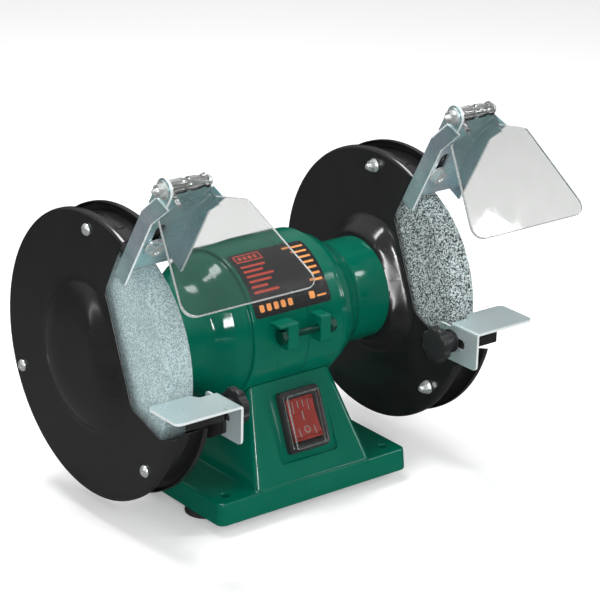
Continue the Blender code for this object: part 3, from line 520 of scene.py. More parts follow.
def housing_half(side):
    """Turned half from the seam to its end wall; the left one has the middle band's groove."""
    start = side * SEAM + SEAM_GAP / 2
    outer = [(start, BARREL - 0.4), (start + 0.4, BARREL)]
    if side < 0:
        outer += [(20.6, BARREL), (20.9, BARREL - 0.3), (21.3, BARREL - 0.3), (21.6, BARREL)]
    outer += fillet([(30.0, BARREL), *CONE], [0, 1.4, 0.8, 8, 12, 16, 16, 10, 0], 5)
    inner = [(111.1, 9.5), (107.1, 9.5), (107.1, 20.3), (94.0, 20.3), (94.0, 40.5), (77, 41),
             (74, 42.7), (68, 47.5), (59, 54), (50, 61), (start, 61)]
    profile = [(side * x, r) for x, r in outer + inner]
    return new_piece("housing", lathe(profile, 160, centre=(0, 0, AXIS)), 28)


def lug(span, roof):
    """Cast lug on the barrel's front; the left one has a roof over the bolt's head."""
    block = fillet(rectangle(-76.2, AXIS - 4.0, -61.5, AXIS + 19.0), [2.2, 0, 0, 2.2], 4)
    shape = new_piece("lug", slab(block, *span, "X", 0.9, 3))
    if roof:
        top = fillet(rectangle(-75.8, AXIS + 16.2, -61.5, AXIS + 18.8), [1.2, 0, 0, 1.2], 3)
        combine(shape, new_piece("roof", slab(top, roof, span[0] + 1, "X", 0.6)), "UNION")
    return shape


LUG_BOLT = (-71.2, AXIS + 7.5)  # y and z
for side, word, span, roof, bore in ((-1, "left", (-21.5, -10.5), -29.5, (-23, -9)),
                                     (1, "right", (12.0, 22.5), 0, (11, 24))):
    half = housing_half(side)
    combine(half, lug(span, roof), "UNION", 28)
    combine(half, new_piece("bolt_way", slab(circle(*LUG_BOLT, 3.4), *bore, "X")), angle=28)
    half.name = f"motor_half_{word}"
    settle(half, "base", "green_enamel", green_paint, f"motor_housing_{word}")


# ---- Clamp bolt of the housing ------------------------------------------------------------------
# A hexagon bolt and nut draw the two lugs together. They were sprayed with the housing, so they
# are green as well, in a darker and less glossy green than the housing.
def hexagon(size, low, high, chamfer=0.9, both=False):
    """Hexagon head along X between two levels, its far face (or both) turned to a chamfer."""
    bm = loft([[(x, size * cos(pi / 3 * i), size * sin(pi / 3 * i)) for i in range(6)]
               for x in (low, high)])
    head = new_piece("hexagon", bm)
    near = ([(low, 0), (low, size - chamfer), (low + chamfer * 0.6, size + 0.05)] if both
            else [(low - 1, 0), (low - 1, size + 1), (low, size + 1)])
    far = [(high - chamfer * 0.6, size + 0.05), (high, size - chamfer), (high, 0)]
    return combine(head, new_piece("turning", lathe(near + far, 48)), "INTERSECT", 20)


def thread(start, end, radius, pitch=1.0, depth=0.45):
    """Profile points of a turned thread from start to end; the direction may be negative."""
    sign = 1 if end > start else -1
    turns = int(abs(end - start) / pitch)
    points = []
    for i in range(turns):
        at = start + sign * pitch * i
        points += [(at + sign * pitch * 0.15, radius), (at + sign * pitch * 0.55, radius - depth),
                   (at + sign * pitch * 0.70, radius - depth)]
    return points


bolt_paint, _ = enamelled("bolt_enamel", (0.0005, 0.030, 0.020), (0.0004, 0.018, 0.012),
                          (0.0008, 0.050, 0.033), 700.0, 0.14, 0.24, 0.15, 0.0003)
bolt = new_piece("clamp_bolt", lathe([(-22, 0), (-22, 3), (22, 3), *thread(22, 30, 3.0, 0.9, 0.35),
                                      (30.4, 2.5), (31, 2.0), (31, 0)], 32))
head = hexagon(6.4, 0, 5.0)
head.data.transform(Matrix.Translation((-21.9, 0, 0)) @ Matrix.Rotation(pi, 4, "Z"))
combine(bolt, head, "UNION", 20)
bolt.data.transform(Matrix.Translation((0, *LUG_BOLT)))
settle(bolt, "base", "bright_steel", bolt_paint, "housing_bolt")
nut = hexagon(6.3, 22.8, 28.3, both=True)
combine(nut, new_piece("bore", slab(circle(0, 0, 3.1, 24), 20, 30, "X")), angle=20)
nut.data.transform(Matrix.Translation((0, *LUG_BOLT)))
settle(nut, "base", "bright_steel", bolt_paint, "housing_nut")


# ---- Label --------------------------------------------------------------------------------------
# A black film wrapped on the barrel, with rounded corners. Plain printed bars and blocks stand
# where a maker's panel has its wording, so nothing on it can be read.
def wrapped(outline, low, high, steps_per_mm=0.5):
    """Patch on the barrel from an outline of (x, length round the barrel) between two radii."""
    bm = bmesh.new()
    verts = [bm.verts.new((x, s, 0)) for x, s in outline]
    bm.faces.new(verts)
    lengths = [s for _, s in outline]
    count = int((max(lengths) - min(lengths)) * steps_per_mm)
    for i in range(1, count):
        level = min(lengths) + (max(lengths) - min(lengths)) * i / count
        bmesh.ops.bisect_plane(bm, geom=bm.verts[:] + bm.edges[:] + bm.faces[:],
                               plane_co=(0, level, 0), plane_no=(0, 1, 0))
    made = bmesh.ops.extrude_face_region(bm, geom=bm.faces[:])
    top = [v for v in made["geom"] if isinstance(v, bmesh.types.BMVert)]
    for vertex in top:
        vertex.co.z = 1
    for vertex in bm.verts:
        x, s, level = vertex.co
        angle = s / BARREL
        radius = high if level > 0.5 else low
        vertex.co = (x, -radius * cos(angle), AXIS + radius * sin(angle))
    return bm


def film_block(x0, s0, x1, s1, radius=0.3):
    return fillet(rectangle(x0, s0, x1, s1), radius, 3)


film, tree, shader, place = new_material("label_black", (0.012, 0.012, 0.013), 0.3)
shader.inputs["Specular IOR Level"].default_value = 0.3
fleck = add_noise(tree, place, 1400, 2.0)
vary(tree, shader, fleck, (0.008, 0.008, 0.009), (0.018, 0.018, 0.019), (0.24, 0.38), 0.15)


def printing_ink(name, plain, dark, pale):
    """Printed colour, a little speckled."""
    ink, tree, shader, place = new_material(name, plain, 0.4)
    vary(tree, shader, add_range(tree, add_noise(tree, place, 5200), 0.4, 0.6, 0, 1), dark, pale)
    return ink


print_orange = printing_ink("print_orange", (0.80, 0.22, 0.05), (0.70, 0.24, 0.06),
                            (0.86, 0.36, 0.10))
print_red = printing_ink("print_red", (0.62, 0.06, 0.03), (0.52, 0.045, 0.025),
                         (0.72, 0.09, 0.045))

LABEL_LOW, LABEL_HIGH = 23.7, 84.4      # lengths round the barrel from the front horizontal
label = new_piece("label_film", wrapped(film_block(-42.5, LABEL_LOW, 35.0, LABEL_HIGH, 3.0),
                                        BARREL + 0.05, BARREL + 0.45))
settle(label, "base", "label_film", film, "nameplate")


def printed(name, blocks, finish):
    """All the blocks of one ink as one thin piece on the film."""
    bm = bmesh.new()
    for block in blocks:
        part = wrapped(block, BARREL + 0.43, BARREL + 0.5)
        mesh = bpy.data.meshes.new("block")
        part.to_mesh(mesh)
        part.free()
        bm.from_mesh(mesh)
        bpy.data.meshes.remove(mesh)
    settle(new_piece(name, bm), "base", "label_film", finish)


badge = [film_block(-38.0, 73.5, -12.0, 74.6), film_block(-38.0, 81.0, -12.0, 82.1),
         film_block(-38.0, 73.5, -36.9, 82.1), film_block(-13.1, 73.5, -12.0, 82.1)]
badge += [film_block(x, 76.0, x + 3.2, 79.6, 0.5) for x in (-34.5, -29.5, -24.5, -19.5)]
rows = [film_block(-38.0, s, -38.0 + length, s + 2.0)
        for s, length in ((67.5, 24), (62.6, 19), (57.7, 27), (52.8, 22), (47.9, 16), (43.0, 25))]
printed("print_left", badge + rows, print_red)
values = [film_block(32.0 - length, s, 32.0, s + 2.0)
          for s, length in ((77.0, 22), (71.0, 17), (65.0, 11), (59.4, 13), (53.8, 12), (48.2, 10),
                            (42.6, 14))]
marks = [film_block(x, 28.0, x + 4.6, 34.0, 1.2) for x in (-37.0, -29.8, -22.6, -15.4, -8.2)]
marks += [film_block(14.0, 29.0, 19.5, 35.0, 1.2), film_block(21.5, 29.5, 31.0, 31.0)]
printed("print_right", values + marks, print_orange)


# ---- Wheel guards -------------------------------------------------------------------------------
# Each guard is two pressed steel discs with turned rims and shallow domes, with a rolled band
# between them, all in gloss black enamel. Both discs are cut away at the front for the work.
black_paint, _ = enamelled("black_enamel", (0.014, 0.014, 0.015), (0.010, 0.011, 0.012),
                           (0.019, 0.018, 0.018), 120.0, 0.14, 0.24, 0.10, 0.0004)

OPENING_TILT = radians(22.9)
BRACKET_LEAN = {-1: radians(30.6), 1: radians(27.8)}
BRACKET_BOLT_OUT = 126          # the bracket's clamp bolt from the shaft axis
WHEEL_MIDDLE = 145.7            # middle of each wheel and guard along the shaft
GUARD_RIM, BAND_RADIUS = 119.85, 112
# The three through bolts as (y, z) from the shaft axis.
GUARD_BOLTS = [(-106.5 * cos(radians(a)), 106.5 * sin(radians(a))) for a in (90.0, 203.0, -41.0)]


def opening_tool(inner_edge, top, corner, knee, low, high):
    points = fillet([(inner_edge, top), (inner_edge, corner), knee, (150, -80), (150, 135)],
                    [6, 6, 4, 0, 0], 6)
    along = Vector((-cos(OPENING_TILT), sin(OPENING_TILT)))
    across = Vector((sin(OPENING_TILT), cos(OPENING_TILT)))
    return new_piece("opening", slab([tuple(along * a + across * b) for a, b in points],
                                     low, high, "X"))


def guard_disc(name, side, face_x, out, lift, dome_radii, fade, opening):
    """Pressed disc: dome, flat, rounded corner and turned rim, then its cut-away and holes."""
    sheet, turned, lip = 1.4, 3.6, 6.5      # thickness, corner radius and depth of the rim

    def skin(depth, radius, steps, edge):
        """One face of the sheet: (distance along the shaft, radius) from the middle outwards."""
        line = [(depth - lift(r), r) for r in dome_radii]
        line += [(depth, r) for r in (68, 80, 92, 104, 112)]
        for i in range(steps + 1):
            t = pi / 2 * i / steps
            line.append((depth + radius * (1 - cos(t)), GUARD_RIM - turned + radius * sin(t)))
        line += [(lip - 0.4, GUARD_RIM - edge[0]), (lip, GUARD_RIM - edge[1])]
        return [(side * (face_x - out * d), r) for d, r in line]

    profile = skin(0, turned, 7, (0, 0.4)) + skin(sheet, turned - sheet, 5, (sheet, 1.0))[::-1]
    bm = lathe(profile, 144)
    along = Vector((0, -cos(OPENING_TILT), sin(OPENING_TILT)))
    for vertex in bm.verts:
        share = (vertex.co.dot(along) - fade[0]) / (fade[1] - fade[0])
        share = min(max(share, 0), 1)
        vertex.co.x -= side * out * lift(vertex.co.yz.length) * share * share * (3 - 2 * share)
    bmesh.ops.triangulate(bm, faces=bm.faces, quad_method="SHORT_EDGE")
    disc = new_piece(name, bm, 40)
    low, high = sorted((side * (face_x - 30), side * (face_x + 30)))
    combine(disc, opening_tool(*opening, low, high), angle=40)
    for y, z in GUARD_BOLTS:
        combine(disc, new_piece("hole", slab(circle(y, z, 2.9, 22), low, high, "X")), angle=40)
    edge = disc.modifiers.new("Cut edge", "BEVEL")
    edge.width, edge.segments = 0.5, 2
    edge.limit_method, edge.angle_limit = "ANGLE", radians(60)
    edge.use_clamp_overlap = False
    bake_modifiers(disc)
    disc.data.transform(Matrix.Translation((0, 0, AXIS)))
    return disc


def cover_lift(radius):
    return 12.5 * (1 - min(radius / 63, 1) ** 4.5)


def inner_lift(radius):
    share = min(max((radius - 46) / 17, 0), 1)
    return 16 * (1 - share * share * (3 - 2 * share))


def arc(radius, start, end, steps):
    angles = [start + (end - start) * i / steps for i in range(steps + 1)]
    return [(-radius * cos(a), AXIS + radius * sin(a)) for a in angles]


def bracket_point(side, x, forward, distance):
    """World point from the bracket's own frame: across, forward and away from the shaft."""
    lean = BRACKET_LEAN[side]
    return (side * WHEEL_MIDDLE + x, -forward * cos(lean) - distance * sin(lean),
            AXIS - forward * sin(lean) + distance * cos(lean))


def bracket_matrix(side):
    """The bracket's frame with X across, -Y forward and Z away from the shaft."""
    return Matrix.Translation((side * WHEEL_MIDDLE, 0, AXIS)) @ Matrix.Rotation(
        BRACKET_LEAN[side], 4, "X")


# The slots pressed into the band: a node tree sweeps a bead along a long loop, bends it to the
# band's curve and turns a copy to each place round the band.
def turned_copies(tree, shape, count, step, first=0.0):
    """Copies of a shape turned round the X axis by first, first + step and so on."""
    index = add_node(tree, "GeometryNodeInputIndex").outputs[0]
    turn = add_node(tree, "ShaderNodeMath", {0: index, 1: step, 2: first},
                    operation="MULTIPLY_ADD").outputs[0]
    turned = add_node(tree, "ShaderNodeCombineXYZ", {"X": turn}).outputs["Vector"]
    marks = add_node(tree, "GeometryNodePoints", {"Count": count}).outputs["Points"]
    return add_node(tree, "GeometryNodeInstanceOnPoints", {
        "Points": marks, "Instance": shape, "Rotation": turned}).outputs["Instances"]


slots, given, slots_keys = new_tree("pressed_slots", Count="Int", First="Float", Step="Float",
                                    Finish="Material")
end_tree(slots, turned_copies(slots, given["Geometry"], given["Count"], given["Step"],
                              given["First"]), given["Finish"])


def slot_bead(side):
    """Closed bead of a long slot on top of the band, at angle 0 from straight up."""
    path = []
    for centre, turn in ((13.0, -pi / 2), (-13.0, pi / 2)):
        for i in range(9):
            angle = turn + pi * i / 8
            path.append((centre + 4.2 * cos(angle), 4.2 * sin(angle)))
    bm = bmesh.new()
    rings = []
    count = len(path)
    for i, (s, across) in enumerate(path):
        before, after = path[i - 1], path[(i + 1) % count]
        normal = Vector((after[1] - before[1], before[0] - after[0])).normalized()
        ring = []
        for j in range(6):
            spin = 2 * pi * j / 6
            s1 = s + normal.x * 0.9 * cos(spin)
            x1 = across + normal.y * 0.9 * cos(spin)
            radius = BAND_RADIUS + 0.9 * sin(spin)
            ring.append(bm.verts.new((side * WHEEL_MIDDLE + x1, radius * sin(s1 / BAND_RADIUS),
                                      radius * cos(s1 / BAND_RADIUS))))
        rings.append(ring)
    for i in range(count):
        for j in range(6):
            k = (j + 1) % 6
            bm.faces.new((rings[i - 1][j], rings[i - 1][k], rings[i][k], rings[i][j]))
    return bm


def guard_band(side):
    lean = BRACKET_LEAN[side]
    upright, end = pi / 2 - lean, radians(342)
    outline = arc(BAND_RADIUS, end, upright + asin(4.6 / BAND_RADIUS), 110)
    outline += [bracket_point(side, 0, -4.6, 156)[1:], bracket_point(side, 0, -2.6, 156)[1:]]
    outline += arc(110.6, upright + asin(2.6 / 110.6), end, 110)
    low, high = sorted((side * 129.1, side * 162.4))
    band = new_piece("band", slab(outline, low, high, "X"), 40)
    hole = new_piece("hole", slab(circle(0, BRACKET_BOLT_OUT, 3.3, 24), 0, 10, "Y"))
    hole.data.transform(bracket_matrix(side))
    return combine(band, hole, angle=40)


COVER_RADII = [0, 10, 20, 26, 31, 35, 39, 43, 46, 49, 52, 55, 58, 60.5, 63]
INNER_RADII = [22, 28, 34, 38, 42, 46, 48, 50, 52, 54.5, 57, 59.5, 61.5, 63]
for side, word in ((-1, "left"), (1, "right")):
    cover = guard_disc(f"guard_cover_skin_{word}", side, 164.1, 1, cover_lift, COVER_RADII,
                       (26, 46), (46.8, 49.3, -45.8, (78.5, -71.9)))
    settle(cover, "base", "black_enamel", black_paint, f"guard_cover_{word}")
    inner = guard_disc(f"guard_inner_skin_{word}", side, 127.4, -1, inner_lift, INNER_RADII,
                       (36, 50), (51.5, 52.5, -31.0, (88.0, -70.0)))
    settle(inner, "base", "black_enamel", black_paint, f"guard_inner_{word}")
    band = guard_band(side)
    band.name = f"guard_band_skin_{word}"
    settle(band, "base", "black_enamel", black_paint, f"guard_band_{word}")
    beads = new_piece(f"guard_slots_{word}", slot_bead(side), 60)
    run_tree(beads, slots, slots_keys, Count=7, First=radians(2.0), Step=radians(-24.0),
             Finish=black_paint)
    beads.data.transform(Matrix.Translation((0, 0, AXIS)))
    settle(beads, "base", "black_enamel", black_paint)


# ---- Guard bolts --------------------------------------------------------------------------------
# Three plated pan head screws hold each guard together, each with a cross recess on the cover's
# side, and a washer and a hexagon nut on the motor's side.
plated, given, gives = new_group(
    "plated_metal", ("Vector", "Spangle Scale", "Streak Scale", "Stretch", "Bright", "Dull"),
    ("Tint", "Roughness", "Height"))
spangle = add_noise(plated, given["Vector"], given["Spangle Scale"], 3.0)
stretched = add_node(plated, "ShaderNodeVectorMath", {0: given["Vector"], 1: given["Stretch"]},
                     operation="MULTIPLY").outputs["Vector"]
streak = add_noise(plated, stretched, given["Streak Scale"])
tint = add_node(plated, "ShaderNodeMath", {
    0: streak, 1: 0.45, 2: add_range(plated, spangle, 0.3, 0.7, 0.1, 0.35)},
    operation="MULTIPLY_ADD").outputs[0]
plated.links.new(tint, gives["Tint"])
plated.links.new(add_range(plated, spangle, 0.3, 0.7, given["Bright"], given["Dull"], True),
                 gives["Roughness"])
plated.links.new(streak, gives["Height"])


def add_plating(tree, shader, vector, spangle_scale, streak_scale, bright, dull, bump,
                grain=(0.08, 1.0, 1.0)):
    """Plated surface's roughness and bump on a shader; gives its tint for the colour."""
    metal = use_group(tree, plated, Vector=vector, Spangle_Scale=spangle_scale,
                      Streak_Scale=streak_scale, Stretch=grain, Bright=bright, Dull=dull)
    tree.links.new(metal["Roughness"], shader.inputs["Roughness"])
    add_bump(tree, shader, metal["Height"], bump, 0.0002)
    return metal["Tint"]


steel, tree, shader, place = new_material("bright_steel", (0.72, 0.74, 0.74), 0.3, 0.75)
vary(tree, shader, add_plating(tree, shader, place, 420.0, 1500.0, 0.26, 0.36, 0.03),
     (0.66, 0.69, 0.68), (0.88, 0.91, 0.90))


def guard_bolt(side):
    """Screw, washer and nut about the X axis, all as one piece."""
    profile = [(118.1, 0), (118.1, 1.7), (118.6, 2.3), *thread(118.8, 122.0, 2.5, 0.8, 0.35),
               (122.0, 2.5), (126.0, 2.5), (126.0, 5.9), (127.0, 5.9), (127.1, 2.5), (164.4, 2.5),
               (164.4, 5.0), (164.9, 5.1), (165.6, 4.9), (166.6, 4.1), (167.3, 2.8), (167.7, 1.2),
               (167.8, 0)]
    screw = new_piece("screw", lathe([(side * x, r) for x, r in profile], 28))
    for turn in (0, pi / 2):
        blade = new_piece("blade", slab(rectangle(-0.55, -2.9, 0.55, 2.9),
                                        *sorted((side * 166.2, side * 169.0)), "X"))
        blade.data.transform(Matrix.Rotation(turn + 0.5, 4, "X"))
        combine(screw, blade)
    hex_nut = hexagon(4.6, 121.4, 126.1, 0.6, both=True)
    if side < 0:
        hex_nut.data.transform(Matrix.Rotation(pi, 4, "Z"))
    return combine(screw, hex_nut, "UNION", 25)


for side, word in ((-1, "left"), (1, "right")):
    marks = [(0, y, AXIS + z) for y, z in GUARD_BOLTS]
    bolts = copies_at(f"guard_screws_{word}", guard_bolt(side), marks, steel)
    settle(bolts, "base", "bright_steel", steel,
           *[f"guard_bolt_{word}_{i}" for i in (1, 2, 3)])


# ---- Grinding wheels, flanges and shaft ---------------------------------------------------------
# Bonded abrasive discs: pale blue-grey and fine on the left, black and white and coarse on the
# right. Each sits between two turned steel flanges under a hexagon nut on the shaft's end.
grit, given, gives = new_group("bonded_grit", ("Vector", "Grain Scale", "Contrast"),
                               ("Light", "Height", "Cloud"))
cells = add_node(grit, "ShaderNodeTexVoronoi",
                 {"Vector": given["Vector"], "Scale": given["Grain Scale"]}, feature="F1")
shades = add_node(grit, "ShaderNodeSeparateColor", {"Color": cells.outputs["Color"]})
fine = add_noise(grit, given["Vector"], given["Grain Scale"])
mixed = add_node(grit, "ShaderNodeMath", {0: shades.outputs["Red"], 1: fine},
                 operation="ADD").outputs[0]
shifted = add_node(grit, "ShaderNodeMath", {0: mixed, 1: 1.0}, operation="SUBTRACT").outputs[0]
light = add_node(grit, "ShaderNodeMath", {0: shifted, 1: given["Contrast"], 2: 0.5},
                 operation="MULTIPLY_ADD", use_clamp=True).outputs[0]
grit.links.new(light, gives["Light"])
grit.links.new(mixed, gives["Height"])
grit.links.new(add_noise(grit, given["Vector"], 28, 3.0), gives["Cloud"])


def abrasive(name, grain, contrast, dark, pale, cloud, bump):
    material, tree, shader, place = new_material(name, pale, 0.95)
    shader.inputs["Specular IOR Level"].default_value = 0.25
    stone = use_group(tree, grit, Vector=place, Grain_Scale=grain, Contrast=contrast)
    body = add_mix(tree, stone["Light"], dark, pale)
    veil = add_range(tree, stone["Cloud"], 0.35, 0.65, 0.0, cloud, True)
    tree.links.new(add_mix(tree, veil, body, dark), shader.inputs["Base Color"])
    add_bump(tree, shader, stone["Height"], bump, 0.0006)
    return material


fine_stone = abrasive("fine_abrasive", 1250.0, 1.3, (0.22, 0.30, 0.31), (0.56, 0.69, 0.70),
                      0.20, 0.6)
coarse_stone = abrasive("coarse_abrasive", 1050.0, 3.2, (0.035, 0.045, 0.045),
                        (0.66, 0.76, 0.76), 0.15, 0.7)

wheel_profile = [(132.5, 8.3), (132.5, 50), (132.5, 75), (132.5, 98.6), (132.9, 99.6), (133.9, 100),
                 (140, 100), (150, 100), (156.1, 100), (157.1, 99.6), (157.5, 98.6), (157.5, 75),
                 (157.5, 50), (157.5, 8.3)]
inner_flange = [(126.5, 8.2), (126.5, 18), (128.4, 32), (129.2, 34.2), (130.4, 35), (132.2, 35),
                (132.2, 29), (131.2, 28), (131.2, 8.2)]
outer_flange = [(157.8, 29), (157.8, 35), (160.2, 35), (161.2, 34.2), (161.6, 32), (162.6, 18),
                (162.6, 8.2), (158.8, 8.2), (158.8, 28)]
for side, word, grade, stone in ((-1, "left", "fine_abrasive", fine_stone),
                                 (1, "right", "coarse_abrasive", coarse_stone)):
    wheel = new_piece(f"wheel_{word}", lathe([(side * x, r) for x, r in wheel_profile], 160,
                                             centre=(0, 0, AXIS)), 40)
    settle(wheel, "rotor", grade, stone, f"grinding_wheel_{word}")
    for name, profile in (("inner_flange", inner_flange), ("outer_flange", outer_flange)):
        flange = new_piece(f"{name}_turned_{word}",
                           lathe([(side * x, r) for x, r in profile], 80, centre=(0, 0, AXIS)))
        settle(flange, "rotor", "bright_steel", steel, f"{name}_{word}")
    nut = hexagon(13.8, 162.9, 170.9, 1.6, both=True)
    combine(nut, new_piece("bore", slab(circle(0, 0, 8.15, 48), 160, 175, "X")), angle=20)
    if side < 0:
        nut.data.transform(Matrix.Rotation(pi, 4, "Z"))
    nut.data.transform(Matrix.Translation((0, 0, AXIS)))
    nut.name = f"shaft_nut_turned_{word}"
    settle(nut, "rotor", "bright_steel", steel, f"shaft_nut_{word}")

half_shaft = [(93.5, 10), (93.5, 8.5), (126.2, 8.5), (126.2, 7.9), (150, 7.9),
              *thread(158, 172, 7.9, 1.5, 0.6), (172.6, 7.2), (173.5, 6.4), (173.5, 0)]
shaft = new_piece("shaft_turned", lathe([(-x, r) for x, r in reversed(half_shaft)] + half_shaft, 48,
                                        centre=(0, 0, AXIS)))
settle(shaft, "rotor", "bright_steel", steel, "shaft")


# ---- Rest arms ----------------------------------------------------------------------------------
# A bent strip of steel in black enamel stands off each inner guard disc on a welded pad. It folds
# round the front of the guard, and the tool rest is clamped to its cheek.
def both_ways(side, low, high):
    """Span between two distances from the middle of the machine, on the given side."""
    return sorted((side * low, side * high))


def trim_edges(obj, width=0.25, angle=50, segments=2):
    """Small radius on every sharp edge."""
    edge = obj.modifiers.new("Edges", "BEVEL")
    edge.width, edge.segments = width, segments
    edge.limit_method, edge.angle_limit = "ANGLE", radians(angle)
    edge.use_clamp_overlap = True
    bake_modifiers(obj)
    shade(obj, 40)
    return obj


REST_LIFT = {-1: -1.5, 1: 2.0}  # each rest is set at its own height
REST_BOLT_Y, REST_BOLT_DROP = -115.5, -15.5
for side, word in ((-1, "left"), (1, "right")):
    bolt_z = AXIS + REST_BOLT_DROP + REST_LIFT[side]
    cheek = fillet([(-123.5, -8), (-123.5, -19.5), (-128.5, -19.5), (-128.5, -30), (-112, -40),
                    (-86, -50), (-78, -44), (-86, -29), (-104, -8)],
                   [0, 0, 0, 2, 4, 3, 3, 5, 3], 4)
    arm = new_piece(f"rest_arm_bent_{word}", slab([(y, AXIS + z) for y, z in cheek],
                                                  *both_ways(side, 121.9, 124.4), "X"))
    bend = fillet([(121.9, -123), (121.9, -128.5), (159, -128.5), (159, -126), (124.4, -126),
                   (124.4, -123)], [0, 3.0, 0.5, 0.5, 0.6, 0], 5)
    combine(arm, new_piece("fold", slab([(side * x, y) for x, y in bend], AXIS - 19.5, AXIS - 8,
                                        "Z")), "UNION")
    combine(arm, new_piece("pad", slab(circle(-88, AXIS - 39.5, 6, 32),
                                       *both_ways(side, 123.4, 127.1), "X")), "UNION")
    combine(arm, new_piece("hole", slab(circle(REST_BOLT_Y, bolt_z, 4.3, 28),
                                        *both_ways(side, 120, 127), "X")))
    settle(trim_edges(arm), "base", "black_enamel", black_paint, f"rest_arm_{word}")


# ---- Tool rests ---------------------------------------------------------------------------------
# Folded from 2.2 mm sheet and zinc plated: a table with rounded corners that is cut back beside
# the wheel, and a flange with a long slot for the clamp bolt. The cut edges get a pale finish of
# their own, a painted highlight.
zinc, tree, shader, place = new_material("zinc_plate", (0.60, 0.70, 0.74), 0.3, 0.7)
vary(tree, shader, add_plating(tree, shader, place, 45.0, 1400.0, 0.27, 0.33, 0.04),
     (0.64, 0.78, 0.80), (0.82, 0.94, 0.95))


def brighten_edges(obj, finish, local, chosen):
    """Give a second, brighter finish to the faces that chosen picks by their local normal and
    middle: a painted highlight.
    """
    back_turn = local.inverted()
    obj.data.materials.append(finish)
    for face in obj.data.polygons:
        if chosen(back_turn.to_3x3() @ face.normal, back_turn @ (face.center * 1000)):
            face.material_index = 1


def long_slot(start, end, middle, half, steps=8):
    """Outline of a slot with round ends along the first coordinate."""
    points = []
    for centre, turn in ((end - half, -pi / 2), (start + half, pi / 2)):
        points += [(centre + half * cos(turn + pi * i / steps),
                    middle + half * sin(turn + pi * i / steps)) for i in range(steps + 1)]
    return points


# Painted highlight: the sheet's cut edges get a paler, less metallic finish with speckled
# brightness.
zinc_edge_highlight, tree, shader, place = new_material("zinc_edge_painted_highlight", (0.84, 0.90, 0.90), 0.35, 0.3)
edge_highlight_speckle = add_noise(tree, place, 900, 2.0)
vary(tree, shader, edge_highlight_speckle, (0.74, 0.81, 0.81), (0.92, 0.96, 0.96), (0.28, 0.45))


def rest_rim(normal, middle):
    """Cut faces of the table and of the flange, from the table's top."""
    if middle.z < -3:
        return abs(normal.x) < 0.8
    return abs(normal.y) > 0.4 or (abs(normal.z) < 0.8 and abs(middle.x) > 125)


for side, word in ((-1, "left"), (1, "right")):
    top = AXIS + REST_LIFT[side]
    section = fillet([(119.4, -36), (121.6, -36), (121.6, -2.2), (184, -2.2), (184, 0),
                      (119.4, 0)], [0, 0, 0.5, 0, 0, 2.6], 5)
    rest = new_piece(f"tool_rest_folded_{word}",
                     slab([(side * x, top + z) for x, z in section], -150, -96, "Y"))
    table_cut = fillet([(117, -147), (181.5, -147), (181.5, -107.5), (142.5, -107.5),
                        (137.5, -115), (117, -115)], [0, 5, 5, 2, 2, 0], 6)
    keep = new_piece("footprint", slab([(side * x, y) for x, y in table_cut], top - 3.5, top + 1,
                                       "Z"))
    flange_cut = fillet([(-147, 1), (-147, -33), (-111.5, -33), (-101.5, -20), (-100, -3.5),
                         (-114, -3.5), (-115, 1)], [0, 4, 3, 3, 2.5, 0, 0], 5)
    combine(keep, new_piece("flange", slab([(y, top + z) for y, z in flange_cut],
                                           *both_ways(side, 118, 122.5), "X")), "UNION")
    combine(rest, keep, "INTERSECT")
    slot_outline = long_slot(-132, -106.5, top + REST_BOLT_DROP, 4.4)
    combine(rest, new_piece("slot", slab(slot_outline, *both_ways(side, 118, 125), "X")))
    settle(trim_edges(rest), f"rest_{word}", "zinc_plate", zinc, f"tool_rest_{word}")
    # The cut faces of table and flange get the painted highlight finish.
    brighten_edges(rest, zinc_edge_highlight, Matrix.Translation((0, 0, top)), rest_rim)


# ---- Rest clamp bolts and knobs -----------------------------------------------------------------
# A plated hexagon bolt passes through arm and slot into a black moulded knob. The knob has a
# domed face, eight scallops round its head, and a smooth stem with a collar against the rest.
plastic, tree, shader, place = new_material("black_plastic", (0.016, 0.016, 0.018), 0.45)
grain = add_noise(tree, place, 1500, 3.0)
vary(tree, shader, grain, (0.011, 0.011, 0.012), (0.021, 0.022, 0.023), (0.36, 0.54))
add_bump(tree, shader, grain, 0.15, 0.0002)

# Node tree: copies of a cutter are turned round the X axis and cut from a blank.
cutting, given, cutting_keys = new_tree("cut_round_axis", Cutter="Object", Count="Int",
                                        Step="Float", Finish="Material")
info = add_node(cutting, "GeometryNodeObjectInfo", {"Object": given["Cutter"]})
turned = turned_copies(cutting, info.outputs["Geometry"], given["Count"], given["Step"])
tools = add_node(cutting, "GeometryNodeRealizeInstances", {"Geometry": turned})
cut = add_node(cutting, "GeometryNodeMeshBoolean", operation="DIFFERENCE", solver="EXACT")
cutting.links.new(given["Geometry"], cut.inputs[0])
cutting.links.new(tools.outputs["Geometry"], cut.inputs[1])
end_tree(cutting, cut.outputs["Mesh"], given["Finish"])


def cut_round(blank, cutter, count, finish, angle=30):
    """Cut count copies of the cutter from the blank, evenly round the X axis."""
    run_tree(blank, cutting, cutting_keys, Cutter=cutter, Count=count, Step=2 * pi / count,
             Finish=finish)
    bpy.data.objects.remove(cutter)
    shade(blank, angle)
    return blank


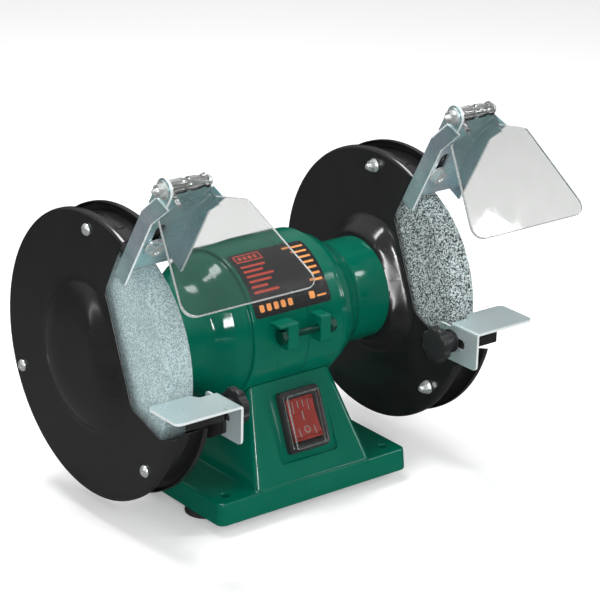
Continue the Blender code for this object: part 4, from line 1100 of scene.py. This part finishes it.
knob_profile = [(98.5, 0), (98.6, 4), (98.9, 8), (99.3, 11.6), (99.8, 13.6), (100.6, 15.0),
                (101.8, 15.5), (105.2, 15.5), (106.4, 15.1), (107.1, 14.0), (107.3, 12.0),
                (107.3, 8.6), (107.9, 7.8), (117.0, 7.8), (117.5, 8.4), (117.6, 9.8), (119.0, 9.8),
                (119.0, 4.2), (104.5, 4.2), (104.5, 0)]
for side, word in ((-1, "left"), (1, "right")):
    bolt_z = AXIS + REST_BOLT_DROP + REST_LIFT[side]
    stem = [(105.2, 0), (105.2, 3.2), *thread(105.8, 118, 3.9, 1.1, 0.5), (119, 3.9), (126, 3.9),
            (126, 0)]
    bolt = new_piece("rest_bolt", lathe([(side * x, r) for x, r in stem], 28))
    head = hexagon(6.8, 124.7, 129.7)
    if side < 0:
        head.data.transform(Matrix.Rotation(pi, 4, "Z"))
    combine(bolt, head, "UNION", 25)
    bolt.data.transform(Matrix.Translation((0, REST_BOLT_Y, bolt_z)))
    bolt.name = f"rest_bolt_turned_{word}"
    settle(bolt, f"rest_clamp_{word}", "zinc_plate", steel, f"rest_bolt_{word}")

    knob = new_piece(f"knob_moulded_{word}", lathe([(side * x, r) for x, r in knob_profile], 96))
    scallop = new_piece("scallop", lathe([(side * x, r) for x, r in
                                          [(96, 0), (96, 6.2), (100, 5.4), (106.5, 5.0), (108, 5.0),
                                           (108, 0)]], 32, centre=(0, 0, 18.4)))
    cut_round(knob, scallop, 8, plastic, 35)
    trim_edges(knob, 0.45, 38)
    knob.data.transform(Matrix.Translation((0, REST_BOLT_Y, bolt_z)))
    settle(knob, f"knob_{word}", "black_plastic", plastic, f"rest_knob_{word}")


# ---- Shield brackets ----------------------------------------------------------------------------
# A channel folded from 2 mm zinc plated sheet: a web with a long slot and two cheeks, bent forward
# near its top. An ear inside the left cheek carries the pivot bolt.
def channel_block(outline, x0, x1, radius, back_edges):
    """Solid of the cheek outline with a bend radius along the named back edges of both sides."""
    bm = slab([(-forward, distance) for forward, distance in outline], x0, x1, "X")
    edges = []
    for edge in bm.edges:
        ends = [v.co for v in edge.verts]
        if abs(ends[0].x - ends[1].x) > 0.01:
            continue
        for first, second in back_edges:
            pair = {(round(-first[0], 3), round(first[1], 3)),
                    (round(-second[0], 3), round(second[1], 3))}
            if {(round(v.y, 3), round(v.z, 3)) for v in ends} == pair:
                edges.append(edge)
    bmesh.ops.bevel(bm, geom=edges, offset=radius, segments=5, profile=0.5, affect="EDGES")
    return bm


zinc_brushed, tree, shader, place = new_material("zinc_brushed", (0.52, 0.62, 0.66), 0.3, 0.75)
lean_back = add_node(tree, "ShaderNodeVectorRotate", {"Vector": place, "Angle": -radians(29)},
                     rotation_type="X_AXIS")
tint = add_plating(tree, shader, lean_back.outputs["Vector"], 30.0, 1900.0, 0.27, 0.33, 0.06,
                   (0.08, 0.08, 1.0))
passivated = add_range(tree, add_noise(tree, place, 16, 2.0), 0.35, 0.65, 0.0, 1.0, True)
lines = add_range(tree, tint, 0.30, 0.62, 0.0, 1.0)
teal = add_mix(tree, lines, (0.34, 0.58, 0.60), (0.66, 0.90, 0.91))
blue = add_mix(tree, lines, (0.44, 0.55, 0.64), (0.82, 0.91, 0.95))
tree.links.new(add_mix(tree, passivated, teal, blue), shader.inputs["Base Color"])


def channel_rim(normal, middle):
    """Cut faces of the channel: its two ends and the front edges of cheeks and ear."""
    return abs(normal.z) > 0.9 or (abs(middle.x) > 22.3 and middle.y < -1 and abs(normal.x) < 0.9)


PIVOT_FORWARD, PIVOT_OUT = 10, 205.5    # pivot bolt from the shaft, in the bracket's frame
outer_points = [(-2, 102.5), (13.5, 102.5), (13.5, 171.5), (23.5, 197.5), (6.5, 195.2), (-2, 172.2)]
inner_points = [(0, 96), (40, 96), (40, 215), (16, 215), (8.4, 194.5), (0, 171.6)]
for side, word in ((-1, "left"), (1, "right")):
    channel = new_piece(f"bracket_channel_{word}", channel_block(
        outer_points, -27, 27, 2.6, [((-2, 102.5), (-2, 172.2)), ((-2, 172.2), (6.5, 195.2))]))
    combine(channel, new_piece("inside", channel_block(
        inner_points, -25, 25, 0.7, [((0, 96), (0, 171.6)), ((0, 171.6), (8.4, 194.5))])))
    ear = fillet([(1, 183), (19, 186), (19, 214.4), (1, 214.4)], [0, 0, 8.8, 8.8], 8)
    combine(channel, new_piece("ear", slab([(-f, d) for f, d in ear], -25.2, -22.8, "X")), "UNION")
    combine(channel, new_piece("pivot_hole", slab(circle(-PIVOT_FORWARD, PIVOT_OUT, 2.8, 24),
                                                  -26, -20, "X")))
    track = [(x, z) for z, x in long_slot(118, 149, 0, 4.4)]
    combine(channel, new_piece("track", slab(track, -5, 6, "Y")))
    trim_edges(channel, 0.2)
    channel.data.transform(bracket_matrix(side))
    settle(channel, f"bracket_{word}", "zinc_plate", zinc_brushed, f"shield_bracket_{word}")
    # The channel's cut faces get the painted highlight finish.
    brighten_edges(channel, zinc_edge_highlight, bracket_matrix(side), channel_rim)


# ---- Bracket clamp bolts and pivot bolts --------------------------------------------------------
# Bright plated fasteners. A flange bolt with a serrated face clamps each bracket to the guard's
# tab. The pivot bolt has a nut and washer on its pointed, threaded end and a pan head.
for side, word in ((-1, "left"), (1, "right")):
    clamp = new_piece("clamp", lathe([(-1.6, 0), (-1.6, 3.4), (-1.9, 6.2), (-1.2, 7.9),
                                      (-0.4, 8.0), (-0.3, 7.6), (-0.3, 3.0), (8, 3.0),
                                      *thread(9.9, 12.4, 3, 1, 0.4), (12.6, 2.4), (13, 2.0),
                                      (13, 0)], 48))
    notch = new_piece("notch", slab(rectangle(-0.35, 6.9, 0.35, 9.0), -1.5, -0.7, "X"))
    cut_round(clamp, notch, 28, steel)
    head = hexagon(6.7, 0, 4.7, 1.0)
    head.data.transform(Matrix.Translation((-1.5, 0, 0)) @ Matrix.Rotation(pi, 4, "Z"))
    combine(clamp, head, "UNION", 25)
    combine(clamp, new_piece("dish", lathe([(-7, 0), (-7, 3.6), (-5.6, 2.6), (-5.6, 0)], 32)))
    combine(clamp, hexagon(6.2, 4.9, 9.8, 0.8, both=True), "UNION", 25)
    clamp.data.transform(bracket_matrix(side) @ Matrix.Translation((0, 0, BRACKET_BOLT_OUT))
                         @ Matrix.Rotation(pi / 2, 4, "Z"))
    clamp.name = f"bracket_bolt_turned_{word}"
    settle(clamp, "base", "bright_steel", steel, f"bracket_bolt_{word}")

    pivot = new_piece("pivot", lathe([(-35.5, 0), (-35.5, 1.1), (-34.4, 2.1),
                                      *thread(-34.2, -31.6, 2.5, 0.8, 0.35), (-31.5, 2.5),
                                      (-27.0, 2.5), (-26.9, 7.2), (-26.7, 7.4),
                                      (-25.7, 7.4), (-25.5, 7.2), (-25.5, 2.5), (-22.5, 2.5),
                                      (-22.5, 7.0), (-22.3, 7.2), (-21.7, 7.2), (-21.5, 7.0),
                                      (-21.5, 2.5), (13.0, 2.5), (13.0, 4.8), (13.4, 5.0),
                                      (15.4, 4.8), (16.6, 4.0), (17.3, 2.6), (17.5, 0)], 40))
    combine(pivot, hexagon(5.6, -31.5, -26.9, 0.8, both=True), "UNION", 25)
    for turn in (0.3, 0.3 + pi / 2):
        blade = new_piece("blade", slab(rectangle(-0.5, -2.8, 0.5, 2.8), 16.2, 19, "X"))
        blade.data.transform(Matrix.Rotation(turn, 4, "X"))
        combine(pivot, blade)
    pivot.data.transform(bracket_matrix(side)
                         @ Matrix.Translation((0, -PIVOT_FORWARD, PIVOT_OUT)))
    pivot.name = f"pivot_bolt_turned_{word}"
    settle(pivot, f"bracket_{word}", "bright_steel", steel, f"pivot_bolt_{word}")


# ---- Eye shields --------------------------------------------------------------------------------
# Each is moulded in one piece from clear acrylic: a 3 mm pane with polished, rounded edges hangs
# by a thick tongue from a barrel in two lumps that turns on the pivot bolt.
clear, tree, shader, place = new_material("clear_acrylic", (0.93, 0.96, 0.955), 0.02)
shader.inputs["Transmission Weight"].default_value = 1.0
shader.inputs["IOR"].default_value = 1.49
haze = add_noise(tree, place, 60, 3.0)
vary(tree, shader, haze, (0.66, 0.67, 0.66), (0.72, 0.73, 0.72), (0.015, 0.05), 0.15)

# A polished edge gathers light from the whole pane; this brighter, milky finish paints that
# highlight onto the edge faces.
clear_edge_highlight, tree, shader, place = new_material("clear_edge_highlight", (0.94, 0.97, 0.96), 0.2)
shader.inputs["Transmission Weight"].default_value = 0.6
shader.inputs["IOR"].default_value = 1.49
haze = add_noise(tree, place, 700, 2.0)
vary(tree, shader, haze, (0.86, 0.91, 0.90), (0.97, 0.99, 0.985), (0.12, 0.28), 0.15)


def pane_rim(normal, middle):
    """The rounded edge all round the pane, below the tongue."""
    return abs(normal.y) < 0.95 and middle.z < -14


SHIELD_LEAN = {-1: radians(50.1), 1: radians(42.6)}
SHIELD_MIDDLE = -3.8
for side, word in ((-1, "left"), (1, "right")):
    pane_points = [(-12, -15), (12, -15), (40.5, -24.5), (61.9, -106.5), (-61.9, -106.5),
                   (-40.5, -24.5)]
    pane = [(x + SHIELD_MIDDLE, z) for x, z in fillet(pane_points, [3, 3, 4, 9, 9, 4], 8)]
    shield = new_piece(f"shield_moulded_{word}", slab(pane, -4.5, -1.5, "Y", 0.45, 2))
    tongue = fillet([(-4.4, -4), (-4.4, -20), (-1.7, -27), (1.4, -12), (1.4, 0), (-3.0, 0)],
                    [0, 2, 0, 6, 0, 0], 5)
    combine(shield, new_piece("tongue", slab(tongue, -20.4, 11.8, "X", 0.4)), "UNION")
    barrel = [(-21.0, 3.4), (-21.0, 5.6), (-20.2, 6.3), (-18.8, 6.5), (-9.4, 6.5), (-7.6, 6.1),
              (-6.4, 5.1), (-4.6, 5.1), (-3.4, 6.1), (-2.0, 6.4), (4.0, 6.1), (7.4, 5.4),
              (9.6, 5.6), (11.4, 6.4), (12.5, 6.5), (12.5, 3.4)]
    combine(shield, new_piece("barrel", lathe(barrel, 56)), "UNION")
    combine(shield, new_piece("bore", slab(circle(0, 0, 2.95, 32), -30, 20, "X")))
    pivot_place = bracket_point(side, 0, PIVOT_FORWARD, PIVOT_OUT)
    hang = Matrix.Translation(pivot_place) @ Matrix.Rotation(-SHIELD_LEAN[side], 4, "X")
    shield.data.transform(hang)
    settle(shield, f"shield_{word}", "clear_acrylic", clear, f"eye_shield_{word}")
    # The pane's rounded rim gets the painted highlight finish.
    brighten_edges(shield, clear_edge_highlight, hang, pane_rim)


# ---- Switch -------------------------------------------------------------------------------------
# A black moulded body with a wide bezel, a red rocker with plain raised marks, and a clear
# splash cover that is pressed over it. All of it leans back with the pocket.
def switch_opening(half_x, half_z, radius):
    return fillet(rectangle(-half_x, -half_z, half_x, half_z), radius, 5)


body = new_piece("switch_moulding", slab(switch_opening(20.0, 25.6, 2.0), 2.5, 7.7, "Y", 0.9, 3))
combine(body, new_piece("tub", slab(rectangle(-15.4, -20.8, 15.4, 20.8), 6.7, 34, "Y")), "UNION")
combine(body, new_piece("opening", slab(switch_opening(13.8, 19.2, 0.8), 0, 28, "Y")))
combine(body, new_piece("step", slab(switch_opening(17.3, 22.8, 2.0), 0, 3.1, "Y")))
trim_edges(body, 0.3)
body.data.transform(switch_frame)
settle(body, "base", "black_plastic", plastic, "switch_body")

red, tree, shader, place = new_material("red_switch", (0.60, 0.03, 0.02), 0.2)
shader.inputs["Subsurface Weight"].default_value = 0.15
shader.inputs["Subsurface Radius"].default_value = (0.004, 0.001, 0.0005)
glow = add_noise(tree, place, 240, 2.0)
vary(tree, shader, glow, (0.70, 0.035, 0.022), (0.90, 0.075, 0.050), (0.14, 0.24))
add_bump(tree, shader, glow, 0.05, 0.0003)
rocker_frame = switch_frame @ Matrix.Translation((0, 9, 0)) @ Matrix.Rotation(radians(-8), 4, "X")


def rocker_face(z):
    return -5.6 - 2.2 * (z / 17.6) ** 2


side_outline = [(rocker_face(z), z) for z in [17.6 - 35.2 * i / 16 for i in range(17)]]
side_outline += [(-2, -17.6), (6, -7), (6, 7), (-2, 17.6)]
rocker = new_piece("rocker_moulding", slab(side_outline, -13.4, 13.4, "X", 0.9, 3), 40)
rocker.data.transform(rocker_frame)
settle(rocker, "rocker", "red_switch", red, "switch_rocker")

white_mark, tree, shader, place = new_material("switch_mark", (0.82, 0.80, 0.76), 0.4)
wear = add_noise(tree, place, 2400, 2.0)
vary(tree, shader, wear, (0.70, 0.66, 0.62), (0.92, 0.90, 0.88))


def face_strip(outline, count=6):
    """Thin raised print that follows the rocker's hollow face."""
    bm = slab(outline, -0.10, 0.06, "Y")
    low, high = min(z for _, z in outline), max(z for _, z in outline)
    for i in range(1, count):
        level = low + (high - low) * i / count
        bmesh.ops.bisect_plane(bm, geom=bm.verts[:] + bm.edges[:] + bm.faces[:],
                               plane_co=(0, 0, level), plane_no=(0, 0, 1))
    for vertex in bm.verts:
        vertex.co.y += rocker_face(vertex.co.z)
    return bm


marks = new_piece("rocker_marks", face_strip(rectangle(-0.5, -1.5, 0.5, 6.0)))
for x, low, high in ((-8.6, 5.5, 15.0), (-3.4, 9.0, 15.0), (1.8, 9.0, 15.0), (7.0, 5.5, 15.0),
                     (-8.6, -15.0, -7.5), (7.0, -15.0, -7.5)):
    combine(marks, new_piece("stroke", face_strip(rectangle(x, low, x + 0.7, high))), "UNION")
ring = new_piece("ring", face_strip(circle(0, -9.5, 3.0, 32)))
combine(ring, new_piece("hollow", slab(circle(0, -9.5, 2.2, 32), -12, 2, "Y")))
combine(marks, ring, "UNION")
marks.data.transform(rocker_frame)
settle(marks, "rocker", "red_switch", white_mark)

cover = new_piece("cover_moulding", slab(switch_opening(17.0, 22.5, 2.0), -4.2, 2.2, "Y"))
combine(cover, new_piece("inside", slab(switch_opening(15.8, 21.3, 1.2), -3.0, 3.0, "Y")))
trim_edges(cover, 0.35, 50, 3)
cover.data.transform(switch_frame)
settle(cover, "base", "clear_acrylic", clear, "switch_cover")
# The cover's bevelled rims get the painted highlight finish.
brighten_edges(cover, clear_edge_highlight, switch_frame, lambda n, m: 0.2 < abs(n.y) < 0.95)


# ---- Bottom plate, cable gland and capacitor ----------------------------------------------------
# A plated steel plate closes the base and has a row of vent slots. The black moulded gland sits
# in the rear wall, and the motor's run capacitor lies on the plate inside the pedestal.
plate = new_piece("bottom_sheet", slab(fillet(rectangle(-93.6, -86.7, 93.6, 86.7), 6, 5), 0.0, 1.5,
                                       "Z"))
for y in range(-48, 24, 12):    # the rest of the plate lies under the capacitor
    combine(plate, new_piece("vent", slab(long_slot(-22, 22, y, 2.2), -1, 3, "Z")))
for x, y, _ in corners:
    combine(plate, new_piece("hole", slab(circle(x, y, 2.4, 24), -1, 3, "Z")))
trim_edges(plate, 0.2)
settle(plate, "base", "bright_steel", zinc, "bottom_plate")

gland_profile = [(83.6, 3.2), (83.6, 5.5), (85.6, 6.0), (91.9, 6.0), (91.9, 8.2), (92.2, 8.5),
                 (93.6, 8.4), (94.0, 8.0), (94.4, 7.2), (95.4, 6.6), (95.8, 6.0), (96.8, 6.2),
                 (97.2, 5.6), (98.2, 5.8), (98.6, 5.3), (99.6, 5.5), (100.0, 5.0), (101.0, 5.2),
                 (101.6, 5.0), (102.6, 4.6), (102.6, 3.2)]
gland = new_piece("gland_moulding", lathe(gland_profile, 48, "Y", (0, 0, 9.5)))
settle(gland, "base", "black_plastic", plastic, "cable_gland")

grey_can, tree, shader, place = new_material("capacitor_can", (0.36, 0.37, 0.38), 0.4)
haze = add_noise(tree, place, 300, 3.0)
vary(tree, shader, haze, (0.28, 0.29, 0.30), (0.44, 0.45, 0.46), (0.3, 0.5))
can = [(-30, 0), (-30, 13.6), (-29.4, 13.6), (-29.2, 15.0), (-29.7, 15.6), (-29.2, 16.0),
       (-28, 16.0), (-27, 15.5), (-26, 16.0), (27, 16.0), (29, 15.6), (30, 14.6), (30, 0)]
settle(new_piece("capacitor_shell", lathe(can, 56, centre=(0, 35, 17.8))), "base", "capacitor_can",
       grey_can, "capacitor")


# ---- Motor's insides ----------------------------------------------------------------------------
# Laminated cores, lacquered copper windings and ball bearings, closed in by the housing. Their
# plain turned shapes stay, with the finish of stacked sheet, of wound wire and of ground steel.
def banded(name, dark, pale, scale, roughness, metallic, axis):
    """Finish with fine bands across one axis, for stacked sheets and wound wire."""
    material, tree, shader, place = new_material(name, pale, roughness, metallic)
    bands = add_node(tree, "ShaderNodeTexWave",
                     {"Vector": place, "Scale": scale, "Distortion": 0.6},
                     wave_type="BANDS", bands_direction=axis).outputs["Fac"]
    vary(tree, shader, bands, dark, pale)
    add_bump(tree, shader, bands, 0.4, 0.0003)
    return material


iron = banded("laminated_iron", (0.05, 0.05, 0.055), (0.20, 0.20, 0.21), 320, 0.5, 0.8, "X")
copper = banded("copper_winding", (0.20, 0.05, 0.02), (0.60, 0.24, 0.11), 260, 0.35, 0.7, "X")
for node, finish in (("stator_core", iron), ("rotor_core", iron), ("stator_winding_left", copper),
                     ("stator_winding_right", copper), ("bearing_left", steel),
                     ("bearing_right", steel)):
    for mesh_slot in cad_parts[node].material_slots:
        mesh_slot.material = finish


# ---- Scene update -------------------------------------------------------------------------------
# The scene is brought up to date.
bpy.context.view_layer.update()
